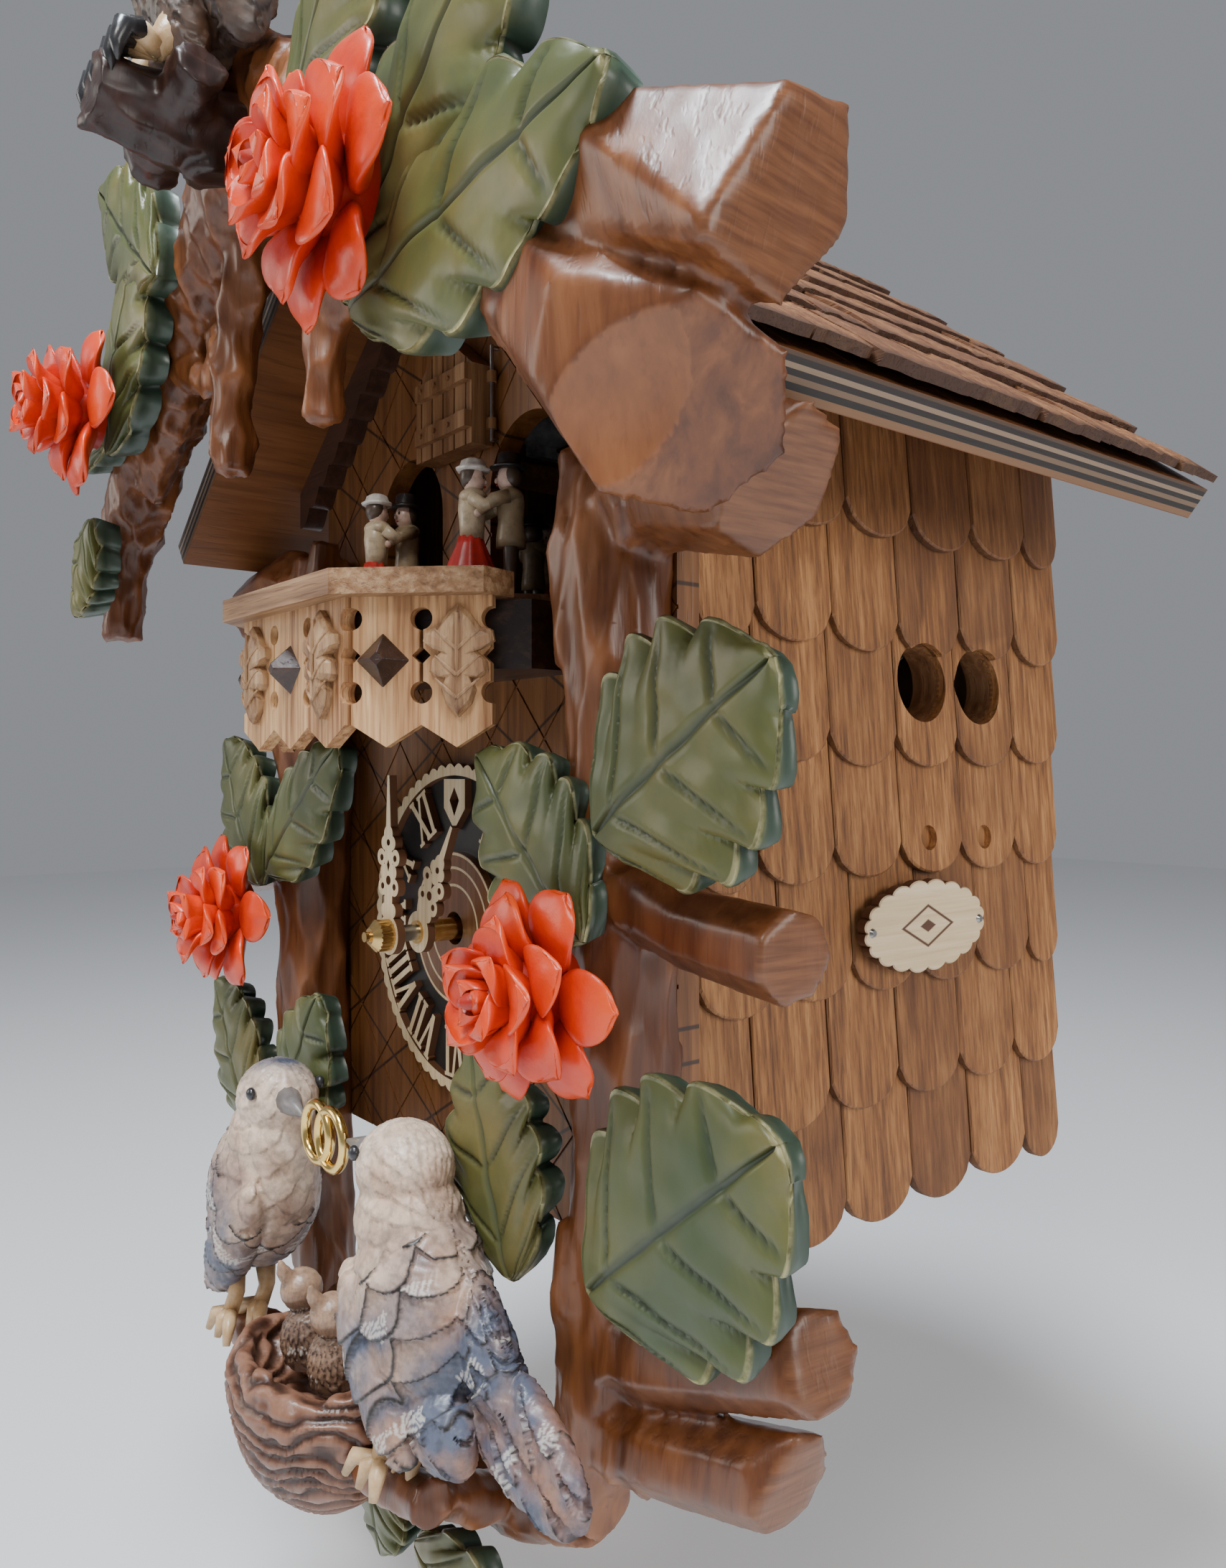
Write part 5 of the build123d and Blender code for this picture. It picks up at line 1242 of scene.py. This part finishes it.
def metal_material(name, colour, rough, marks=180.0, bump=0.12, tint=None):
    n = Nodes(name)
    spots = n.noise(n.stretch((marks, marks, marks)), 1.0, 4.0, 0.6)
    tone = n.mix(n.grade(spots, 0.35, 0.7), colour, tint or tuple(v * 0.8 for v in colour))
    return n.finish(tone, n.math("ADD", n.math("MULTIPLY", spots, 0.15), rough - 0.05), spots, bump, 0.0002,
                    metal=1.0)


def badge_material():
    """Pale plywood badge with a lozenge in place of lettering, its rim burnt brown."""
    material, n = wood("badge", (0.56, 0.4, 0.22), (0.66, 0.5, 0.3), (0.74, 0.6, 0.4), "Y", stripes=500.0, rough=0.5,
                       bump=0.08, shade=0.2)
    place = n.add("SeparateXYZ", Vector=n.coords)
    y = n.math("ABSOLUTE", n.math("ADD", place.outputs["Y"], (CASE_DEPTH - 109) / 1000))
    z = n.math("ABSOLUTE", n.math("ADD", place.outputs["Z"], (HANGER_Z - 102) / 1000))
    span = n.math("ADD", n.math("DIVIDE", y, 0.016), n.math("DIVIDE", z, 0.008))
    ring = n.math("MULTIPLY", n.grade(span, 0.8, 0.86), n.grade(span, 1.0, 0.94))
    dot = n.grade(span, 0.32, 0.26)
    facing = n.add("SeparateXYZ", Vector=n.add("NewGeometry").outputs["Normal"]).outputs["X"]
    burnt = n.math("MAXIMUM", n.math("MAXIMUM", ring, dot), n.grade(facing, 0.85, 0.5))
    rebase(n, n.mix(burnt, base_of(n), (0.09, 0.035, 0.015)))
    return material


WALNUT = wood("walnut_stain", (0.11, 0.042, 0.016), (0.22, 0.1, 0.042), (0.36, 0.19, 0.09), rough=0.5)[0]
CASE = wood("case_board", (0.14, 0.06, 0.024), (0.25, 0.12, 0.05), (0.34, 0.18, 0.085), rough=0.55)[0]
FLAT_CASE = wood("case_board_level", (0.14, 0.06, 0.024), (0.25, 0.12, 0.05), (0.34, 0.18, 0.085), "X")[0]
RAIL = wood("railing_wood", (0.19, 0.07, 0.022), (0.56, 0.31, 0.14), (0.82, 0.54, 0.28), stripes=360.0,
            rough=0.5, bump=0.5)[0]
CAP = wood("rail_cap_wood", (0.11, 0.043, 0.016), (0.3, 0.16, 0.075), (0.52, 0.34, 0.19), "X", stripes=380.0,
           rough=0.45, bump=0.4)[0]
BOX = wood("balcony_box_wood", (0.008, 0.002, 0.001), (0.022, 0.007, 0.002), (0.09, 0.04, 0.018), "X", stripes=260.0,
           rough=0.4, coat=0.2, bump=0.15, tilt=(0, 0.7, 0.3))[0]
DOOR = wood("door_wood", (0.13, 0.052, 0.018), (0.26, 0.125, 0.05), (0.4, 0.22, 0.1), stripes=340.0, rough=0.45)[0]
DARK = wood("dark_stain", (0.014, 0.006, 0.004), (0.04, 0.016, 0.009), (0.075, 0.032, 0.018), "X", stripes=300.0,
            rough=0.4, coat=0.15, bump=0.3)[0]
TRIM = wood("trim_stain", (0.03, 0.011, 0.006), (0.065, 0.024, 0.013), (0.1, 0.04, 0.022), "X", stripes=240.0,
            rough=0.42, coat=0.1, bump=0.25)[0]
LINDEN = linden("carved_linden", (0.075, 0.02, 0.005), (0.165, 0.052, 0.014), (0.26, 0.096, 0.032))
OWL_WOOD = linden("owl_perch_wood", (0.01, 0.003, 0.002), (0.028, 0.009, 0.005), (0.055, 0.02, 0.013))
DIAL_BLACK = simple_paint("dial_black", (0.012, 0.011, 0.01), (0.02, 0.018, 0.016), 0.42, 60.0, 0.08)
BLACK = simple_paint("black_paint", (0.012, 0.012, 0.013), (0.03, 0.03, 0.034), 0.3, 120.0, 0.2, 0.3)
INNER = wood("dial_centre_wood", (0.085, 0.032, 0.011), (0.16, 0.065, 0.022), (0.24, 0.11, 0.042), stripes=420.0,
             rough=0.35, coat=0.2, bump=0.1)[0]
BRASS = metal_material("polished_brass", (0.72, 0.48, 0.19), 0.22)
STEEL = metal_material("blued_steel", (0.42, 0.41, 0.4), 0.3)
GOLD = metal_material("gold_leaf", (0.86, 0.58, 0.16), 0.16, 90.0, 0.5, (0.92, 0.7, 0.3))
MAPLE = maple_material()
BADGE = badge_material()
ROSE = rose_material()
LEAF = leaf_material()
CUCKOO = simple_paint("cuckoo_paint", (0.2, 0.22, 0.25), (0.4, 0.4, 0.4), 0.5, 240.0, 0.3)
PAPER = simple_paint("bellows_paper", (0.36, 0.26, 0.15), (0.5, 0.38, 0.24), 0.7, 60.0, 0.2)

LOOKS = {
    WALNUT: ("side_panel_left", "side_panel_right"),
    FLAT_CASE: ("inner_shelves", "floor_board", "bellows_top_left", "bellows_top_right", "turntable"),
    RAIL: ("balcony_railing",),
    CAP: ("balcony_rail_cap",),
    BOX: ("balcony_box",),
    DOOR: ("cuckoo_door",),
    DARK: ("railing_pyramids",),
    TRIM: ("gable_trim",),
    front_board_material(): ("front_panel",),
    plywood_material(): ("roof_board_left", "roof_board_right"),
    MAPLE: ("dial_numerals", "minute_hand", "hour_hand", "railing_oak_leaves"),
    DIAL_BLACK: ("dial_disc",),
    INNER: ("dial_centre",),
    BADGE: ("side_badge",),
    BRASS: ("hand_nut", "hour_tube", "motion_wheel", "great_wheel", "third_wheel", "escape_wheel",
            "movement_plates", "music_drum", "pendulum_bob"),
    STEEL: ("centre_arbor", "verge", "pendulum_rod", "gong", "gong_hammer", "music_box",
            "pins_and_hinge_wire"),
    GOLD: ("wedding_rings",),
    CUCKOO: ("cuckoo",),
    PAPER: ("cuckoo_pipes",),
    LINDEN: ("trunks", "gable_branches", "bottom_branch"),
    OWL_WOOD: ("owl_branch", "owl", "nest", "chicks", "songbird_left", "songbird_right"),
    LEAF: ("trunk_leaves", "gable_leaves"),
    ROSE: ("gable_roses", "trunk_roses", "dancers"),
    CASE: ("back_panel", "rear_door", "side_shingles", "roof_shingles"),
}
for look, names in LOOKS.items():
    for name in names:
        assign(NODES[name], look)


# ================= pieces =================

side_shingles(shingle_material("side_shingle_wood", (0.1, 0.033, 0.008), (0.3, 0.12, 0.033),
                               (0.52, 0.245, 0.085)))
roof_shingles(shingle_material("roof_shingle_wood", (0.08, 0.026, 0.009), (0.22, 0.088, 0.03),
                               (0.42, 0.2, 0.08), "X"))

for label, side in (("right", 1), ("left", -1)):
    fused(f"{label}_trunk", trunk_parts(side), LINDEN, 1.7, 3, carve_trunk, replaces=("trunks",),
          slot="lacquered_linden")
fused("carved_gable", gable_parts(), LINDEN, 1.8, 3, carve_gable, replaces=("gable_branches",),
      slot="lacquered_linden")
fused("lower_branch", bottom_parts(), LINDEN, 1.6, 3, carve_bottom, replaces=("bottom_branch",),
      slot="lacquered_linden")

GABLE_LEAVES = (((96, 280), (176, 348), 56), ((100, 276), (205, 292), 54), ((60, 340), (130, 398), 52),
                ((-60, 340), (-130, 398), 52), ((-118, 286), (-78, 366), 50), ((-128, 292), (-190, 332), 46),
                ((-142, 264), (-171, 226), 32))
TRUNK_LEAVES = (((124, 140), (190, 184), 74), ((118, 110), (64, 163), 56), ((122, 14), (192, 72), 76),
                ((84, 4), (60, 74), 56), ((-112, 108), (-152, 172), 56), ((-104, 114), (-37, 167), 46),
                ((-118, 2), (-163, 60), 54), ((-84, 6), (-54, 68), 52), ((24, -106), (99, -112), 36),
                ((-24, -106), (-99, -112), 36), ((0, -84), (0, -123.5), 36))
for name, node, y_front, thick, leaves in (("gable_foliage", "gable_leaves", -108, 14, GABLE_LEAVES),
                                           ("trunk_foliage", "trunk_leaves", -47, 12, TRUNK_LEAVES)):
    foliage = Shape()
    for number, (base, tip, width) in enumerate(leaves):
        leaf_parts(foliage, base, tip, width, y_front, thick, seed=number + 3)
    foliage.piece(name, LEAF, replaces=(node,), slot="green_painted_wood")

for name, x, z, y, radius, depth, node, seed, mirror in (
        ("gable_rose_right", 113, 300, -109, 34, 33, "gable_roses", 2, False),
        ("gable_rose_left", -113, 300, -109, 34, 33, "gable_roses", 5, True),
        ("trunk_rose_right", 114, 97, -48, 33, 36, "trunk_roses", 7, False),
        ("trunk_rose_left", -114, 97, -48, 33, 36, "trunk_roses", 11, True)):
    rose(name, (x, y, z), radius, depth, ROSE, (node,), seed, mirror)

SONGBIRD = bird_material("songbird_paint", ((0.8, 0.62, 0.48), (0.42, 0.19, 0.085), (0.1, 0.115, 0.165),
                                            (0.014, 0.01, 0.009)))
BEAK = simple_paint("beak_horn", (0.12, 0.11, 0.11), (0.25, 0.22, 0.2), 0.35)
LEG = simple_paint("bird_leg", (0.62, 0.42, 0.23), (0.42, 0.26, 0.12), 0.4, 150.0, 0.4)
NEST = linden("nest_brown", (0.04, 0.013, 0.007), (0.12, 0.046, 0.024), (0.24, 0.12, 0.075))
for label, side in (("right", 1), ("left", -1)):
    wings = [((side * 57, -82, -20), 17), ((side * 80, -70, -40), 15), ((side * 116, -56, -34), 16)]
    crown = [((-52, -60, 46), 11)] if side < 0 else []
    carve = carve_bird((side * 44, -62, 50), (side * 134, -55, -40), wings + crown)
    fused(f"songbird_body_{label}", songbird_parts(side), SONGBIRD, 0.75, 4, carve,
          replaces=(f"songbird_{label}",), slot="painted_bird")
    eye, beak, leg = bird_extras(side)
    eye.piece(f"songbird_eyes_{label}", BLACK, slot="black_painted_wood")
    beak.piece(f"songbird_beak_{label}", BEAK, slot="painted_bird")
    leg.piece(f"songbird_legs_{label}", LEG, slot="painted_bird")
fused("woven_nest", nest_parts(), NEST, 1.2, 1, carve_nest, replaces=("nest",), slot="nest_brown")
CHICK = bird_material("chick_paint", ((0.4, 0.25, 0.16), (0.3, 0.17, 0.1), (0.2, 0.12, 0.08),
                                      (0.04, 0.02, 0.015)))
for label, x in (("left", -11), ("right", 11)):
    carve = carve_bird((x, -72, -14), (x, -64, -62), [], 0.8, 4.5, 5.0)
    fused(f"chick_{label}", chick_parts(x), CHICK, 0.7, 2, carve, replaces=("chicks",), slot="painted_bird")



def carve_perch(points, normals):
    moved, cut = gouged(points, normals, (7, 12, 7), 1.6)
    return moved, {"cut": cut, "shadow": cut * 0}


fused("owl_perch", [tube_part([(0, -97, 366), (0, -120, 364), (0, -143.5, 367)], [13, 13.5, 12.5], 9),
                    tube_part([(-26, -118, 360), (0, -119, 365), (26, -118, 372)], [8.5, 9, 8.5], 9),
                    tube_part([(0, -112, 386), (0, -106, 350)], [8, 9], 9)],
      OWL_WOOD, 1.3, 2, carve_perch,
      replaces=("owl_branch",), slot="lacquered_linden")
OWL = bird_material("owl_paint", ((0.42, 0.29, 0.18), (0.2, 0.1, 0.055), (0.075, 0.05, 0.04),
                                  (0.02, 0.013, 0.01)))
fused("perched_owl", owl_parts(), OWL, 1.1, 2,
      carve_bird((0, -112, 486), (0, -96, 338), [((-23, -106, 420), 24), ((23, -106, 420), 24)], 1.6, 8.5, 9.0),
      replaces=("owl",), slot="painted_bird")
claws, tarsi, eyes, horn = Shape(), Shape(), Shape(), Shape()
for x in (-11, 11):
    tarsi.add(*tube_part([(x, -119, 392), (x, -124, 384), (x, -128, 379)], [6.0, 4.6, 4.0], 12))
    for spread in (-6.5, 0, 6.5):
        tarsi.add(*tube_part([(x, -127, 380), (x + spread * 0.8, -133, 380.5)], [3.6, 3.2], 10))
        claws.add(*tube_part([(x + spread * 0.8, -133, 381), (x + spread, -138.5, 379),
                              (x + spread * 1.05, -140.5, 373), (x + spread * 1.05, -140, 368)],
                             [3.3, 3.2, 2.3, 0.5], 12))
for x in (-8.5, 8.5):
    eyes.add(*egg_part((x, -133.3, 469), (4.2, 2.0, 4.2)))
horn.add(*tube_part([(0, -133, 465), (0, -137.5, 461), (0, -137, 456)], [3.2, 2.2, 0.6], 10))
tarsi.piece("owl_feet", LEG, slot="painted_bird")
claws.piece("owl_claws", BLACK, slot="black_painted_wood")
eyes.piece("owl_eyes", BLACK, slot="black_painted_wood")
horn.piece("owl_beak", BEAK, slot="painted_bird")

dancers(figure_material())
railing_leaves(wood("oak_carving", (0.16, 0.07, 0.03), (0.4, 0.24, 0.12), (0.58, 0.38, 0.21),
                    stripes=420.0)[0])
wavy_trim(TRIM)


def scalloped_badge(material, centre=(109, 102), half=(35.6, 16.6), corners=220, bites=20):
    """Oval side badge with a scalloped rim; its plain front carries only a lozenge."""
    rim = []
    for k in range(corners):
        angle = 2 * math.pi * k / corners
        bite = 1.5 * (1 - abs(math.sin(bites / 2 * angle)) ** 0.7)
        rim.append(((half[0] - bite) * math.cos(angle), (half[1] - bite) * math.sin(angle)))
    shape = Shape()
    for out, inset in ((119.2, 0.0), (122.6, 0.0), (123.0, 0.5)):
        for y, z in rim:
            shape.points.append((out, centre[0] + y * (1 - inset / 35), centre[1] + z * (1 - inset / 17)))
    shape.faces = grid_faces(3, corners, wrap=True)
    shape.faces += [tuple(range(corners))[::-1], tuple(range(2 * corners, 3 * corners))]
    return shape.piece("scalloped_badge", material, replaces=("side_badge",), smooth=False, slot="plywood")


scalloped_badge(BADGE)


# ================= stage =================

def area_light(name, place, target, size, power, colour):
    data = bpy.data.lights.new(name, "AREA")
    data.shape = "DISK"
    data.size, data.energy, data.color = size, power, colour
    lamp = bpy.data.objects.new(name, data)
    bpy.context.scene.collection.objects.link(lamp)
    lamp.location = place
    lamp.rotation_euler = (Vector(target) - Vector(place)).to_track_quat("-Z", "Y").to_euler()


MIDDLE = (0.0, -0.12, -0.1)
area_light("key", (0.75, -1.2, 1.0), MIDDLE, 0.5, 13, (1.0, 0.96, 0.9))
area_light("side_fill", (1.7, 0.1, 0.35), MIDDLE, 0.9, 15, (1.0, 0.97, 0.93))
area_light("left_fill", (-0.9, -1.3, 0.3), MIDDLE, 0.8, 6, (1.0, 0.95, 0.88))
area_light("top", (0.25, -0.75, 1.5), MIDDLE, 0.45, 48, (0.84, 0.92, 1.0))

world = bpy.data.worlds.new("studio")
bpy.context.scene.world = world
world.use_nodes = True
world.node_tree.nodes["Background"].inputs["Color"].default_value = (0.9, 0.93, 1.0, 1.0)
world.node_tree.nodes["Background"].inputs["Strength"].default_value = 0.3

bpy.ops.mesh.primitive_plane_add(size=9.0, location=(0, 0, -0.5))
floor = bpy.context.object
floor.name = "floor"
pale = Nodes("pale_floor")
floor.data.materials.append(pale.finish((0.82, 0.82, 0.83, 1.0), 0.75))

lens = bpy.data.cameras.new("camera")
lens.lens, lens.sensor_width = 26.37, 36.0
lens.shift_x, lens.shift_y = 0.0009, -0.0128
lens.clip_start = 0.02
camera = bpy.data.objects.new("camera", lens)
bpy.context.scene.collection.objects.link(camera)
camera.location = (0.373, -0.447, -0.092)
camera.rotation_euler = (math.radians(90.29), 0, math.radians(51.1))
bpy.context.scene.camera = camera
